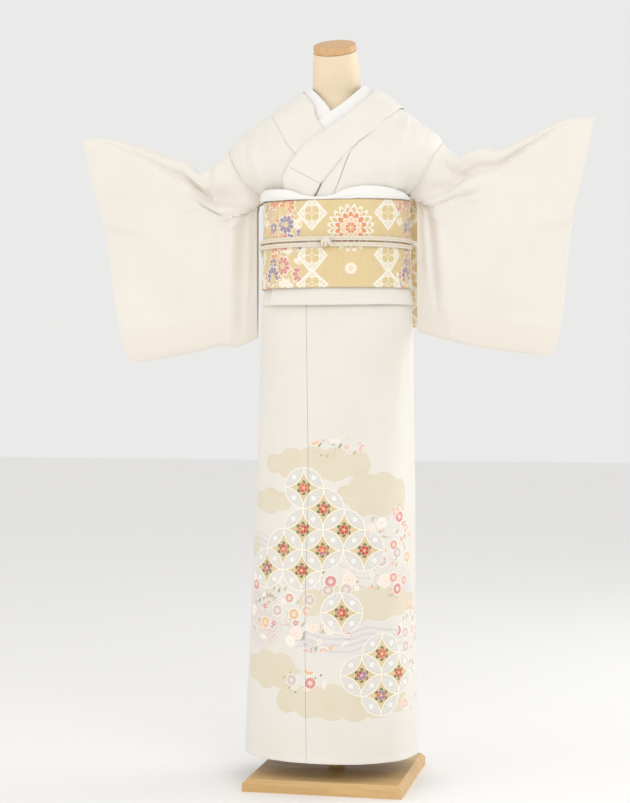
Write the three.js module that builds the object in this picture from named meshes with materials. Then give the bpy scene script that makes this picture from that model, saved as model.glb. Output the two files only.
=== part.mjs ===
// An irotomesode kimono, dressed on a limbless dress form with its obi set: the obi band and drum, the
// obiage sash and the obijime cord. Left and right are the wearer's.
// Millimetres, +Z up, the front faces -Y and the wearer's left is +X.
// The origin is the middle of the base board's underside.
import * as THREE from "three";

// ------------------------------------------------------------------ driving dimensions

const CLOTH = 2; // wall of a kimono panel, silk with its lining
const COLLAR = 3; // wall of a folded collar band
const INNER_COLLAR = 1.6; // wall of the white inner collar
const OBI = 3; // wall of the obi
const SEAM = 0.36; // clear width of a sewn seam

const HEM_Z = 58;
const SKIRT_TOP_Z = 1040; // where the waist tie holds the skirt, under the obi
const FOLD_Z = 941; // lowest line of the waist fold at the front
const FOLD_RISE = 4.5; // how much higher it lies at the sides, and twice that at the back
const ARMPIT_Z = 1164;

// How far the middle of each layer stands out from the innermost surface of the dressed body.
const LIFT = {
  skirtUnder: 1,
  skirtOver: 4.2,
  bodice: 8,
  underCollar: 11.6,
  overlap: 15,
  overCollar: 19.6,
  foldDepth: 3.6, // from the outer leg of the waist fold to its inner leg
};

const BOARD = { side: 313, height: 24, chamfer: 8 };
const POST_RADIUS = 16;
const FORM_BOTTOM_Z = 690;
const CAP = { radius: 42.5, height: 14, tilt: 24 };

// Level sections of the innermost surface, from the hem to the neck: half the width, the depth to the front and
// to the back of the axis, the sideways shift and the power of the outline, where 2 is an ellipse.
const SECTIONS = [
  { z: 40, half: 171, front: 141, back: 119, shift: -9, power: 2.2 },
  { z: 155, half: 168, front: 136, back: 116, shift: -8, power: 2.2 },
  { z: 356, half: 161, front: 128, back: 114, shift: -5.5, power: 2.2 },
  { z: 557, half: 156.5, front: 122, back: 112, shift: -1, power: 2.2 },
  { z: 757, half: 152, front: 118, back: 110, shift: 0.5, power: 2.2 },
  { z: 880, half: 149.5, front: 113, back: 108, shift: 1.5, power: 2.2 },
  { z: 941, half: 146, front: 107, back: 104, shift: 1, power: 2.15 },
  { z: 976, half: 138, front: 101, back: 98, shift: 1, power: 2.1 },
  { z: 1010, half: 135, front: 99, back: 95, shift: 1, power: 2.1 },
  { z: 1060, half: 133, front: 98, back: 94, shift: 0, power: 2.1 },
  { z: 1120, half: 131, front: 98, back: 94, shift: 0, power: 2.1 },
  { z: 1163, half: 131.5, front: 99, back: 96, shift: 0, power: 2.1 },
  { z: 1177, half: 149, front: 100, back: 98, shift: 0, power: 2.05 },
  { z: 1196, half: 177, front: 101, back: 100, shift: -2, power: 2 },
  { z: 1215, half: 194, front: 100, back: 101, shift: -4, power: 2 },
  { z: 1245, half: 208, front: 95, back: 101, shift: -5, power: 1.95 },
  { z: 1262, half: 207, front: 88, back: 99, shift: -3, power: 1.9 },
  { z: 1275, half: 197, front: 82, back: 97, shift: 0, power: 1.9 },
  { z: 1296, half: 169, front: 75, back: 94, shift: -2, power: 1.9 },
  { z: 1315, half: 145, front: 69, back: 94, shift: 1, power: 2 },
  { z: 1332, half: 114, front: 62, back: 97, shift: 6, power: 2 },
  { z: 1350, half: 91, front: 53, back: 99, shift: 7, power: 2 },
  { z: 1364, half: 70, front: 45, back: 98, shift: 6, power: 2 },
  { z: 1376, half: 54, front: 39, back: 92, shift: 4, power: 2 },
  { z: 1390, half: 42, front: 34, back: 84, shift: 3, power: 2 },
];

// The sewn line between body and sleeve, from the armpit to the end of the shoulder, at the front of the left
// side: its height and its angle round the body, 0 at the front and 90 at the side.
const ARMHOLE = [
  { z: 1164, angle: 88 },
  { z: 1178, angle: 82 },
  { z: 1195, angle: 76 },
  { z: 1215, angle: 73 },
  { z: 1238, angle: 74 },
  { z: 1250, angle: 78.5 },
  { z: 1257, angle: 83 },
  { z: 1262, angle: 90 },
];

// The neck edge of a body length at each row of its armhole, front and back.
const LEFT_FRONT_EDGE = [
  { z: 1157, angle: 7.1 },
  { z: 1192, angle: 10.4 },
  { z: 1228, angle: 13.9 },
  { z: 1250, angle: 17.2 },
  { z: 1284, angle: 28 },
  { z: 1305, angle: 43 },
  { z: 1323, angle: 66 },
  { z: 1332, angle: 90 },
];
const RIGHT_FRONT_EDGE = [
  { z: 1157, angle: -16 },
  { z: 1190, angle: -6 },
  { z: 1222, angle: 4 },
  { z: 1250, angle: 13 },
  { z: 1282, angle: 25 },
  { z: 1304, angle: 40 },
  { z: 1322, angle: 64 },
  { z: 1332, angle: 90 },
];
const BACK_EDGE = [
  { z: 1157, angle: 180 },
  { z: 1196, angle: 180 },
  { z: 1238, angle: 180 },
  { z: 1276, angle: 180 },
  { z: 1308, angle: 180 },
  { z: 1314, angle: 150 },
  { z: 1324, angle: 119 },
  { z: 1332, angle: 90 },
];

// Where the left front overlaps: its side edge, and the seam between the front and its overlap strip.
const OVERLAP_EDGE_ANGLE = -82;
const RIGHT_SEAM_ANGLE = -84;
const LEFT_SEAM_ANGLE = 90;
const UNDER_SEAM_ANGLE = -8; // the right front and its overlap strip, under the left front
const UNDER_EDGE_ANGLE = 44;
const FOLD_EDGE_ANGLE = -48; // side edge of the left front's waist fold
const OVERLAP_SEAM = [
  { z: 58, angle: -7.5 },
  { z: 371, angle: -11 },
  { z: 623, angle: -11.6 },
  { z: 940, angle: -15.5 },
  { z: 976, angle: -16 },
  { z: 1060, angle: -6 },
  { z: 1157, angle: 6.9 },
  { z: 1192, angle: 10.2 },
  { z: 1228, angle: 13.7 },
  { z: 1250, angle: 17 },
];

// Rows across the over-collar, from its hidden right end round the neck to its joint on the left front: the neck
// edge, the outer edge, and which layer it lies on.
const OVER_COLLAR_ROWS = [
  { neckZ: 1236, neckAngle: 16, outerZ: 1196, outerAngle: -4, over: 0 },
  { neckZ: 1262, neckAngle: 6, outerZ: 1218, outerAngle: -10.5, over: 0 },
  { neckZ: 1284, neckAngle: -2.4, outerZ: 1240, outerAngle: -16.5, over: 0 },
  { neckZ: 1307, neckAngle: -8, outerZ: 1264, outerAngle: -24, over: 0 },
  { neckZ: 1332, neckAngle: -18, outerZ: 1290, outerAngle: -33, over: 0 },
  { neckZ: 1352, neckAngle: -36, outerZ: 1312, outerAngle: -48, over: 0 },
  { neckZ: 1363, neckAngle: -62, outerZ: 1324, outerAngle: -68, over: 0 },
  { neckZ: 1368, neckAngle: -90, outerZ: 1328, outerAngle: -90, over: 0 },
  { neckZ: 1366, neckAngle: -122, outerZ: 1320, outerAngle: -120, over: 0.06 },
  { neckZ: 1357, neckAngle: -151, outerZ: 1307, outerAngle: -150, over: 0.06 },
  { neckZ: 1352, neckAngle: -180, outerZ: 1300, outerAngle: -180, over: 0.06 },
  { neckZ: 1357, neckAngle: -209, outerZ: 1307, outerAngle: -210, over: 0.06 },
  { neckZ: 1366, neckAngle: -238, outerZ: 1320, outerAngle: -240, over: 0.06 },
  { neckZ: 1368, neckAngle: -270, outerZ: 1328, outerAngle: -270, over: 0 },
  { neckZ: 1361, neckAngle: -298, outerZ: 1322, outerAngle: -294, over: 0.3 },
  { neckZ: 1347, neckAngle: -319, outerZ: 1309, outerAngle: -313, over: 0.8 },
  { neckZ: 1328, neckAngle: -337, outerZ: 1289, outerAngle: -327, over: 1 },
  { neckZ: 1301, neckAngle: -352, outerZ: 1260, outerAngle: -339.5, over: 1 },
  { neckZ: 1273, neckAngle: -363.7, outerZ: 1231, outerAngle: -348.4, over: 1 },
  { neckZ: 1238, neckAngle: -373, outerZ: 1198, outerAngle: -355.6, over: 1 },
  { neckZ: 1213, neckAngle: -380.5, outerZ: 1178, outerAngle: -363.2, over: 1 },
];
// The main collar goes on from that joint and under the obi.
const COLLAR_END_ROWS = [
  { neckZ: 1212, neckAngle: -380.9, outerZ: 1177, outerAngle: -363.6, over: 1 },
  { neckZ: 1178, neckAngle: -392, outerZ: 1158, outerAngle: -368, over: 1 },
  { neckZ: 1147, neckAngle: -399, outerZ: 1147, outerAngle: -371, over: 1 },
];
// The white inner collar shows inside the over-collar.
const INNER_COLLAR_ROWS = [
  { neckZ: 1296, neckAngle: 12, outerZ: 1270, outerAngle: 2, lift: 4.2 },
  { neckZ: 1324, neckAngle: -1.5, outerZ: 1290, outerAngle: -8, lift: 4.2 },
  { neckZ: 1347, neckAngle: -13, outerZ: 1315, outerAngle: -22, lift: 4.2 },
  { neckZ: 1366, neckAngle: -34, outerZ: 1335, outerAngle: -44, lift: 5 },
  { neckZ: 1375, neckAngle: -62, outerZ: 1346, outerAngle: -66, lift: 6 },
  { neckZ: 1377, neckAngle: -90, outerZ: 1348, outerAngle: -90, lift: 6.6 },
  { neckZ: 1374, neckAngle: -122, outerZ: 1342, outerAngle: -122, lift: 5 },
  { neckZ: 1365, neckAngle: -151, outerZ: 1332, outerAngle: -151, lift: 5 },
  { neckZ: 1360, neckAngle: -180, outerZ: 1327, outerAngle: -180, lift: 5 },
  { neckZ: 1365, neckAngle: -209, outerZ: 1332, outerAngle: -209, lift: 5 },
  { neckZ: 1374, neckAngle: -238, outerZ: 1342, outerAngle: -238, lift: 5 },
  { neckZ: 1378, neckAngle: -270, outerZ: 1348, outerAngle: -270, lift: 5.4 },
  { neckZ: 1375, neckAngle: -298, outerZ: 1346, outerAngle: -296, lift: 6.4 },
  { neckZ: 1364, neckAngle: -326, outerZ: 1336, outerAngle: -320, lift: 7.2 },
  { neckZ: 1347, neckAngle: -344, outerZ: 1316, outerAngle: -337, lift: 7.4 },
  { neckZ: 1322, neckAngle: -361.5, outerZ: 1290, outerAngle: -351, lift: 7.4 },
  { neckZ: 1298, neckAngle: -369, outerZ: 1268, outerAngle: -360, lift: 7.4 },
];

// ------------------------------------------------------------------ finishes

const finish = (color, roughness) => new THREE.MeshStandardMaterial({ color, roughness });
const SILK = () => finish("#ece7e0", 0.62);
const WHITE_SILK = () => finish("#f7f5f2", 0.55);
const BROCADE = () => finish("#dfc27e", 0.5);
const BRAID = () => finish("#f1e8d6", 0.6);
const FORM_SKIN = () => finish("#f3e3c3", 0.5);
const OAK = () => finish("#dcb173", 0.55);

const kimono = new THREE.Group();

function addPiece(name, geometry, material) {
  const mesh = new THREE.Mesh(geometry, material);
  mesh.name = name;
  kimono.add(mesh);
}

// ------------------------------------------------------------------ numbers and tables

const radians = THREE.MathUtils.degToRad;
const lerp = THREE.MathUtils.lerp;

function smooth(from, to, x) {
  const s = THREE.MathUtils.clamp((x - from) / (to - from), 0, 1);
  return s * s * (3 - 2 * s);
}

// The rows of a table at x, read from its column named by, with every other number blended on a smooth curve.
function sample(rows, by, x) {
  let i = 0;
  while (i < rows.length - 2 && x > rows[i + 1][by]) i += 1;
  const a = rows[i];
  const b = rows[i + 1];
  const before = rows[Math.max(i - 1, 0)];
  const after = rows[Math.min(i + 2, rows.length - 1)];
  const step = b[by] - a[by];
  const s = (x - a[by]) / step;
  const out = {};
  for (const key of Object.keys(a)) {
    const slopeA = ((b[key] - before[key]) / (b[by] - before[by])) * step;
    const slopeB = ((after[key] - a[key]) / (after[by] - a[by])) * step;
    if (s < 0) out[key] = a[key] + slopeA * s;
    else if (s > 1) out[key] = b[key] + slopeB * (s - 1);
    else {
      out[key] =
        (2 * s ** 3 - 3 * s ** 2 + 1) * a[key] +
        (s ** 3 - 2 * s ** 2 + s) * slopeA +
        (3 * s ** 2 - 2 * s ** 3) * b[key] +
        (s ** 3 - s ** 2) * slopeB;
    }
  }
  return out;
}

// The rows of a table at a share of its length, from 0 at the first row to 1 at the last.
function sampleShare(rows, share) {
  const numbered = rows.map((row, index) => ({ ...row, index }));
  return sample(numbered, "index", share * (rows.length - 1));
}

const range = (count, make) => Array.from({ length: count }, (_, i) => make(i));
const steps = (from, to, count) => range(count + 1, (i) => lerp(from, to, i / count));

// ------------------------------------------------------------------ the dressed body

function innermost(z, degrees) {
  const { half, front, back, shift, power } = sample(SECTIONS, "z", z);
  const s = Math.sin(radians(degrees));
  const c = Math.cos(radians(degrees));
  const k = (Math.abs(s) ** power + Math.abs(c) ** power) ** (-1 / power);
  return new THREE.Vector3(shift + half * k * s, -(c > 0 ? front : back) * k * c, z);
}

// A point over the innermost surface, moved out along its normal.
function bodyPoint(z, degrees, lift) {
  const up = innermost(z + 0.5, degrees).sub(innermost(z - 0.5, degrees));
  const along = innermost(z, degrees + 0.1).sub(innermost(z, degrees - 0.1));
  return innermost(z, degrees).addScaledVector(along.cross(up).normalize(), lift);
}

// The left front lies over the right front, and comes down to the back's layer at its side seam.
const bodiceLift = (degrees) => lerp(LIFT.overlap, LIFT.bodice, smooth(38, 78, degrees));
const skirtLift = (degrees) => lerp(LIFT.skirtOver, LIFT.skirtUnder, smooth(52, 74, degrees));
const foldLine = (degrees) => FOLD_Z + FOLD_RISE * (1 - Math.cos(radians(degrees)));

// ------------------------------------------------------------------ walls

// Half the thickness of a wall as a vector at each point of its middle surface.
function halfWalls(grid, thickness, ring) {
  const rows = grid.length;
  const columns = grid[0].length;
  const slope = (get, i, count, closed) => {
    if (closed) return get((i + 1) % count).clone().sub(get((i + count - 1) % count));
    if (i > 0 && i < count - 1) return get(i + 1).clone().sub(get(i - 1));
    const [first, second, third] = i === 0 ? [0, 1, 2] : [count - 1, count - 2, count - 3];
    const near = get(second).clone().sub(get(first));
    if (count === 2) return i === 0 ? near : near.negate();
    const far = get(third).clone().sub(get(first));
    const way = near.clone().multiplyScalar(far.lengthSq()).addScaledVector(far, -near.lengthSq());
    return i === 0 ? way : way.negate();
  };
  return grid.map((row, i) =>
    row.map((_, j) => {
      const down = slope((k) => grid[k][j], i, rows, false);
      const across = slope((k) => grid[i][k], j, columns, ring);
      return across.cross(down).normalize().multiplyScalar(thickness / 2);
    }),
  );
}

// A closed surface from a list of quads and triangles over shared points, with its faces turned to point out.
function closedGeometry(points, faces) {
  const split = ([a, b, c, d]) => (d === undefined ? [[a, b, c]] : [[a, b, c], [a, c, d]]);
  const triangles = faces.flatMap(split);
  const volume = triangles.reduce(
    (sum, [a, b, c]) => sum + points[a].dot(points[b].clone().cross(points[c])),
    0,
  );
  const index = triangles.flatMap(([a, b, c]) => (volume > 0 ? [a, b, c] : [a, c, b]));
  const geometry = new THREE.BufferGeometry().setFromPoints(points);
  geometry.setIndex(index);
  geometry.computeVertexNormals();
  return geometry;
}

// A cloth wall round the middle surface that grid gives as rows of points.
function wall(grid, thickness) {
  const halves = halfWalls(grid, thickness, false);
  const rows = grid.length;
  const columns = grid[0].length;
  const outer = grid.flatMap((row, i) => row.map((p, j) => p.clone().add(halves[i][j])));
  const inner = grid.flatMap((row, i) => row.map((p, j) => p.clone().sub(halves[i][j])));
  const at = (i, j) => i * columns + j;
  const count = rows * columns;
  const faces = [];
  for (let i = 0; i < rows - 1; i += 1) {
    for (let j = 0; j < columns - 1; j += 1) {
      const quad = [at(i, j), at(i, j + 1), at(i + 1, j + 1), at(i + 1, j)];
      faces.push(quad);
      faces.push(quad.map((k) => k + count).reverse());
    }
  }
  const rim = [
    ...range(columns - 1, (j) => [at(0, j + 1), at(0, j)]),
    ...range(rows - 1, (i) => [at(i, 0), at(i + 1, 0)]),
    ...range(columns - 1, (j) => [at(rows - 1, j), at(rows - 1, j + 1)]),
    ...range(rows - 1, (i) => [at(i + 1, columns - 1), at(i, columns - 1)]),
  ];
  for (const [a, b] of rim) faces.push([a, b, b + count, a + count]);
  return closedGeometry([...outer, ...inner], faces);
}

// A solid through rings of points, with a flat end at each side, or closed on itself.
function loft(rings, closed = false) {
  const columns = rings[0].length;
  const at = (i, j) => (i % rings.length) * columns + (j % columns);
  const faces = [];
  for (let i = 0; i < rings.length - (closed ? 0 : 1); i += 1) {
    for (let j = 0; j < columns; j += 1) {
      faces.push([at(i, j), at(i, j + 1), at(i + 1, j + 1), at(i + 1, j)]);
    }
  }
  if (!closed) {
    for (let j = 1; j < columns - 1; j += 1) {
      faces.push([at(0, 0), at(0, j + 1), at(0, j)]);
      faces.push([at(rings.length - 1, 0), at(rings.length - 1, j), at(rings.length - 1, j + 1)]);
    }
  }
  return closedGeometry(rings.flat(), faces);
}

// ------------------------------------------------------------------ dress form

function addForm() {
  const half = BOARD.side / 2;
  const top = BOARD.height;
  const rows = [
    { z: 0, half },
    { z: top - BOARD.chamfer, half },
    { z: top, half: half - BOARD.chamfer },
  ];
  const corners = [[-1, -1], [1, -1], [1, 1], [-1, 1]];
  const boardRings = rows.map((row) =>
    corners.map(([x, y]) => new THREE.Vector3(x * row.half, y * row.half, row.z)),
  );
  addPiece("base_board", loft(boardRings), OAK());

  const postHeight = FORM_BOTTOM_Z - BOARD.height - 2 * SEAM;
  const post = new THREE.CylinderGeometry(POST_RADIUS, POST_RADIUS, postHeight, 24).rotateX(Math.PI / 2);
  post.translate(0, 0, BOARD.height + SEAM + postHeight / 2);
  addPiece("post", post, OAK());

  // The trunk narrows into the neck, which leans and is cut towards the front.
  const trunk = [
    { z: FORM_BOTTOM_Z, y: 0, half: 112, front: 84, back: 84, tilt: 0 },
    { z: 740, y: 0, half: 138, front: 103, back: 98, tilt: 0 },
    { z: 880, y: 0, half: 138, front: 101, back: 97, tilt: 0 },
    { z: 1000, y: 0, half: 122, front: 86, back: 84, tilt: 0 },
    { z: 1100, y: 0, half: 120, front: 86, back: 84, tilt: 0 },
    { z: 1170, y: 0, half: 132, front: 90, back: 88, tilt: 0 },
    { z: 1230, y: 0, half: 150, front: 84, back: 90, tilt: 0 },
    { z: 1280, y: 0, half: 136, front: 68, back: 84, tilt: 0 },
    { z: 1312, y: 0, half: 98, front: 60, back: 70, tilt: 0 },
    { z: 1338, y: -3, half: 66, front: 49, back: 58, tilt: 4 },
    { z: 1362, y: -5, half: 50, front: 42, back: 50, tilt: 8 },
    { z: 1384, y: -8, half: 48, front: 42, back: 48, tilt: 12 },
    { z: 1418, y: -16, half: 46.5, front: 43, back: 46, tilt: 18 },
    { z: 1449, y: -24.3, half: 43.5, front: 43.5, back: 43.5, tilt: CAP.tilt },
  ];
  const trunkRings = trunk.map((row) =>
    steps(0, 345, 23).map((degrees) => {
      const s = Math.sin(radians(degrees));
      const c = Math.cos(radians(degrees));
      const depth = -(c > 0 ? row.front : row.back) * c;
      const tilt = radians(row.tilt);
      return new THREE.Vector3(1 + row.half * s, row.y + depth * Math.cos(tilt), row.z + depth * Math.sin(tilt));
    }),
  );
  addPiece("form_body", loft(trunkRings), FORM_SKIN());

  const r = CAP.radius;
  const profile = [[0, 0], [r, 0], [r, CAP.height - 2.5], [r - 2.5, CAP.height], [0, CAP.height]];
  const cap = new THREE.LatheGeometry(profile.map(([x, y]) => new THREE.Vector2(x, y)), 36);
  cap.rotateX(Math.PI / 2);
  cap.translate(0, 0, SEAM);
  cap.rotateX(radians(CAP.tilt));
  cap.translate(1, -24.3, 1449);
  addPiece("neck_cap", cap, OAK());
}

// ------------------------------------------------------------------ skirt

const SKIRT_ROWS = [HEM_Z, 160, 371, 600, 800, 900, 941, 976, 1008, SKIRT_TOP_Z];

// A skirt panel between two edges, each a function of the height that gives degrees.
function skirtPanel(fromAngle, toAngle, columns, lift) {
  return SKIRT_ROWS.map((z) =>
    steps(fromAngle(z), toAngle(z), columns).map((degrees) => bodyPoint(z, degrees, lift(degrees))),
  );
}

// Half a seam's width as degrees round the body, whose walls cross a seam at up to 50 degrees from square.
const SEAM_SLANT = 1.6;
const seamAngle = (z) => THREE.MathUtils.radToDeg((SEAM_SLANT * SEAM) / 2 / -innermost(z, 0).y);

function addSkirt() {
  const overlapSeam = (z) => sample(OVERLAP_SEAM, "z", z).angle;
  const under = () => LIFT.skirtUnder;
  const edge = (angle, side) => (z) => angle + side * seamAngle(z);
  const panels = [
    { name: "skirt_back_left", from: edge(LEFT_SEAM_ANGLE, 1), to: edge(180, -1), columns: 10, lift: under },
    {
      name: "skirt_back_right",
      from: edge(180, 1),
      to: edge(360 + RIGHT_SEAM_ANGLE, -1),
      columns: 10,
      lift: under,
    },
    {
      name: "skirt_front_left",
      from: (z) => overlapSeam(z) + seamAngle(z),
      to: edge(LEFT_SEAM_ANGLE, -1),
      columns: 12,
      lift: skirtLift,
    },
    {
      name: "skirt_overlap_left",
      from: () => OVERLAP_EDGE_ANGLE,
      to: (z) => overlapSeam(z) - seamAngle(z),
      columns: 9,
      lift: skirtLift,
    },
    {
      name: "skirt_front_right",
      from: edge(RIGHT_SEAM_ANGLE, 1),
      to: edge(UNDER_SEAM_ANGLE, -1),
      columns: 10,
      lift: under,
    },
    {
      name: "skirt_overlap_right",
      from: edge(UNDER_SEAM_ANGLE, 1),
      to: () => UNDER_EDGE_ANGLE,
      columns: 6,
      lift: under,
    },
  ];
  for (const { name, from, to, columns, lift } of panels) {
    addPiece(name, wall(skirtPanel(from, to, columns, lift), CLOTH), SILK());
  }
}

// ------------------------------------------------------------------ body lengths

// The waist fold, as rows from its inner leg round its lowest line and up: the height over that line and the
// share of the fold's depth.
const FOLD_ROWS = [
  { rise: 34, depth: 1 },
  { rise: 6, depth: 1 },
  { rise: 1.6, depth: 0.86 },
  { rise: 0, depth: 0.5 },
  { rise: 1.6, depth: 0.14 },
  { rise: 6, depth: 0 },
  { rise: 34, depth: 0 },
];
const WAIST_ROWS = [1010, 1060, 1110, 1140];
const SIDE_GAP = 0.12; // half a side seam or back seam, in degrees round the body
const RIGHT_EDGE_ANGLE = 34; // how far round the side the right body length ends under the left front
const OVERLAP_WIDTH = { waist: 30, tip: 1.8 }; // of the overlap strip's upper part, in degrees

// The rows of the waist fold between two edges in degrees, from its inner leg to its outer leg.
function foldRows(from, to, columns, side, lift) {
  return FOLD_ROWS.map((row) =>
    steps(from, to, columns).map((degrees) =>
      bodyPoint(foldLine(degrees) + row.rise, side * degrees, lift(degrees) - row.depth * LIFT.foldDepth),
    ),
  );
}

// A body length goes from the waist at the front over the shoulder to the waist fold at the back, as one strip.
// Its rows run from the neck edge or front edge to the side, at angles of the left side, which side = -1 mirrors.
function bodyLength({ side, frontRows, neckEdge, sideSeam, columns, lift }) {
  const gap = SIDE_GAP;
  const row = (neck, outer) =>
    steps(0, 1, columns).map((share) => {
      const degrees = lerp(neck.angle, outer.angle, share);
      return bodyPoint(lerp(neck.z, outer.z, share), side * degrees, lift(degrees));
    });
  const front = frontRows.map(({ z, angle }) => row({ z, angle }, { z, angle: sideSeam - gap }));
  const chest = ARMHOLE.map((outer, i) => row(neckEdge[i], outer));
  const shoulderBlade = ARMHOLE.slice(0, -1).map((outer, i) => {
    const { z, angle } = BACK_EDGE[i];
    return row({ z, angle: angle === 180 ? 180 - gap : angle }, { z: outer.z, angle: 180 - outer.angle });
  });
  const back = WAIST_ROWS.map((z) => row({ z, angle: 180 - gap }, { z, angle: sideSeam + gap }));
  const fold = foldRows(180 - gap, sideSeam + gap, columns, side, lift);
  return [...front, ...chest, ...shoulderBlade.reverse(), ...back.reverse(), ...fold.reverse()];
}

function addBodyLengths() {
  const columns = 8;
  const frontSeam = (z) => sample(OVERLAP_SEAM, "z", z).angle + seamAngle(z);
  const leftWaist = WAIST_ROWS.map((z) => ({ z, angle: frontSeam(z) }));
  const left = bodyLength({
    side: 1,
    frontRows: leftWaist,
    neckEdge: LEFT_FRONT_EDGE,
    sideSeam: LEFT_SEAM_ANGLE,
    columns,
    lift: bodiceLift,
  });
  const leftFold = foldRows(frontSeam(FOLD_Z), LEFT_SEAM_ANGLE - SIDE_GAP, columns, 1, bodiceLift);
  addPiece("body_left", wall([...leftFold, ...left], CLOTH), SILK());

  const right = bodyLength({
    side: -1,
    frontRows: WAIST_ROWS.map((z) => ({ z, angle: -RIGHT_EDGE_ANGLE })),
    neckEdge: RIGHT_FRONT_EDGE,
    sideSeam: -RIGHT_SEAM_ANGLE,
    columns: columns + 2,
    lift: () => LIFT.bodice,
  });
  const rightFold = foldRows(-RIGHT_EDGE_ANGLE, -RIGHT_SEAM_ANGLE - SIDE_GAP, columns + 2, -1, () => LIFT.bodice);
  const rightLeg = rightFold.slice(-3);
  addPiece("body_right", wall([...rightLeg, ...right], CLOTH), SILK());

  // The overlap strip's upper part runs from the waist fold to its point beside the collar.
  const heights = [...WAIST_ROWS, ...LEFT_FRONT_EDGE.slice(0, 4).map((row) => row.z)];
  const overlapTop = heights.map((z, i) => {
    const inner = frontSeam(z) - 2 * seamAngle(z);
    const width = lerp(OVERLAP_WIDTH.waist, OVERLAP_WIDTH.tip, i / (heights.length - 1));
    return steps(inner - width, inner, 6).map((degrees) => bodyPoint(z, degrees, LIFT.overlap));
  });
  const inner = frontSeam(FOLD_Z) - 2 * seamAngle(FOLD_Z);
  const overlapFold = foldRows(FOLD_EDGE_ANGLE, inner, 6, 1, () => LIFT.overlap);
  addPiece("overlap_left_upper", wall([...overlapFold, ...overlapTop], CLOTH), SILK());
}

// ------------------------------------------------------------------ collars

// A collar band along its rows, each blended from the neck edge to the outer edge, with one more between each two.
function collarBand(rows, columns, liftAt, thickness) {
  const grid = steps(0, 1, 2 * (rows.length - 1)).map((along) => {
    const row = sampleShare(rows, along);
    return steps(0, 1, columns).map((share) => {
      const degrees = lerp(row.neckAngle, row.outerAngle, share);
      return bodyPoint(lerp(row.neckZ, row.outerZ, share), degrees, liftAt(row));
    });
  });
  return wall(grid, thickness);
}

function addCollars() {
  const lift = (row) => lerp(LIFT.underCollar, LIFT.overCollar, row.over);
  addPiece("over_collar", collarBand(OVER_COLLAR_ROWS, 3, lift, COLLAR), SILK());
  addPiece("collar_end", collarBand(COLLAR_END_ROWS, 3, lift, COLLAR), SILK());
  addPiece("inner_collar", collarBand(INNER_COLLAR_ROWS, 2, (row) => row.lift, INNER_COLLAR), WHITE_SILK());
}

// ------------------------------------------------------------------ sleeves

// The outline of each sleeve seen from the front: how far out and how high. The top and the bottom run outwards
// from the body, and the outer edge runs down.
const SLEEVES = {
  left: {
    side: 1,
    top: [
      { out: 212, z: 1268 },
      { out: 228, z: 1250 },
      { out: 248, z: 1238 },
      { out: 272, z: 1247 },
      { out: 297, z: 1251 },
      { out: 327, z: 1246 },
      { out: 366, z: 1261 },
      { out: 406, z: 1276 },
      { out: 445, z: 1293 },
      { out: 480, z: 1297 },
      { out: 511, z: 1295 },
    ],
    bottom: [
      { out: 163, z: 893 },
      { out: 226, z: 875 },
      { out: 287, z: 862 },
      { out: 362, z: 851 },
      { out: 414, z: 845 },
      { out: 430, z: 851 },
    ],
    outer: [
      { out: 511, z: 1295 },
      { out: 497, z: 1225 },
      { out: 482, z: 1160 },
      { out: 469, z: 1104 },
      { out: 458, z: 1020 },
      { out: 451, z: 940 },
      { out: 441, z: 880 },
      { out: 430, z: 851 },
    ],
  },
  right: {
    side: -1,
    top: [
      { out: 221, z: 1262 },
      { out: 240, z: 1236 },
      { out: 262, z: 1222 },
      { out: 278, z: 1212 },
      { out: 294, z: 1226 },
      { out: 310, z: 1240 },
      { out: 329, z: 1243 },
      { out: 378, z: 1262 },
      { out: 439, z: 1281 },
      { out: 480, z: 1287 },
      { out: 511, z: 1284 },
    ],
    bottom: [
      { out: 163, z: 883 },
      { out: 207, z: 864 },
      { out: 238, z: 867 },
      { out: 301, z: 853 },
      { out: 387, z: 838 },
      { out: 420, z: 834 },
      { out: 433, z: 840 },
    ],
    outer: [
      { out: 511, z: 1284 },
      { out: 496, z: 1203 },
      { out: 483, z: 1150 },
      { out: 475, z: 1112 },
      { out: 466, z: 1030 },
      { out: 458, z: 950 },
      { out: 446, z: 875 },
      { out: 433, z: 840 },
    ],
  },
};
const SLEEVE_FORWARD = 58; // how far forward the wrist's top corner is held
const SLEEVE_HOLLOW = 11; // half the width between the middles of its walls
const SLEEVE_SEAM = 3.4; // from the body's edge to the sleeve's, where the seam turns a corner
const SLEEVE_ROUND = 0.03; // share of its depth over which its top and bottom folds are round
const SLEEVE_BACK = 0.6; // how much of a fold of the front wall shows at the back wall
const RIDGE_END = 0.93; // how far out the long fold meets the top
const FURI_OUT = 163; // how far out the open inner edge hangs
const RIDGE_DROP = 0.226; // how far down the inner edge the long fold from the wrist ends, at the armpit
const SLEEVE_STATIONS = [0, 0.045, 0.1, 0.17, 0.26, 0.37, 0.49, 0.61, 0.73, 0.84, 0.93, 0.98, 1];
// Rows down a sleeve's wall, above and below that fold, and how far the front stands out there.
const ABOVE_RIDGE = [
  { share: 0, swell: 0 },
  { share: 0.1, swell: 2 },
  { share: 0.32, swell: 4 },
  { share: 0.58, swell: 0 },
  { share: 0.82, swell: -12 },
];
const BELOW_RIDGE = [
  { share: 0, swell: 8 },
  { share: 0.06, swell: 7 },
  { share: 0.16, swell: 2 },
  { share: 0.28, swell: 0 },
  { share: 0.41, swell: 0 },
  { share: 0.58, swell: 0 },
  { share: 0.74, swell: 0 },
  { share: 0.88, swell: 0 },
  { share: 0.96, swell: 0 },
  { share: 0.99, swell: 0 },
  { share: 1, swell: 0 },
];
const SLIT_ROW = ABOVE_RIDGE.length + 4; // the wrist slit ends at this row

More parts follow.
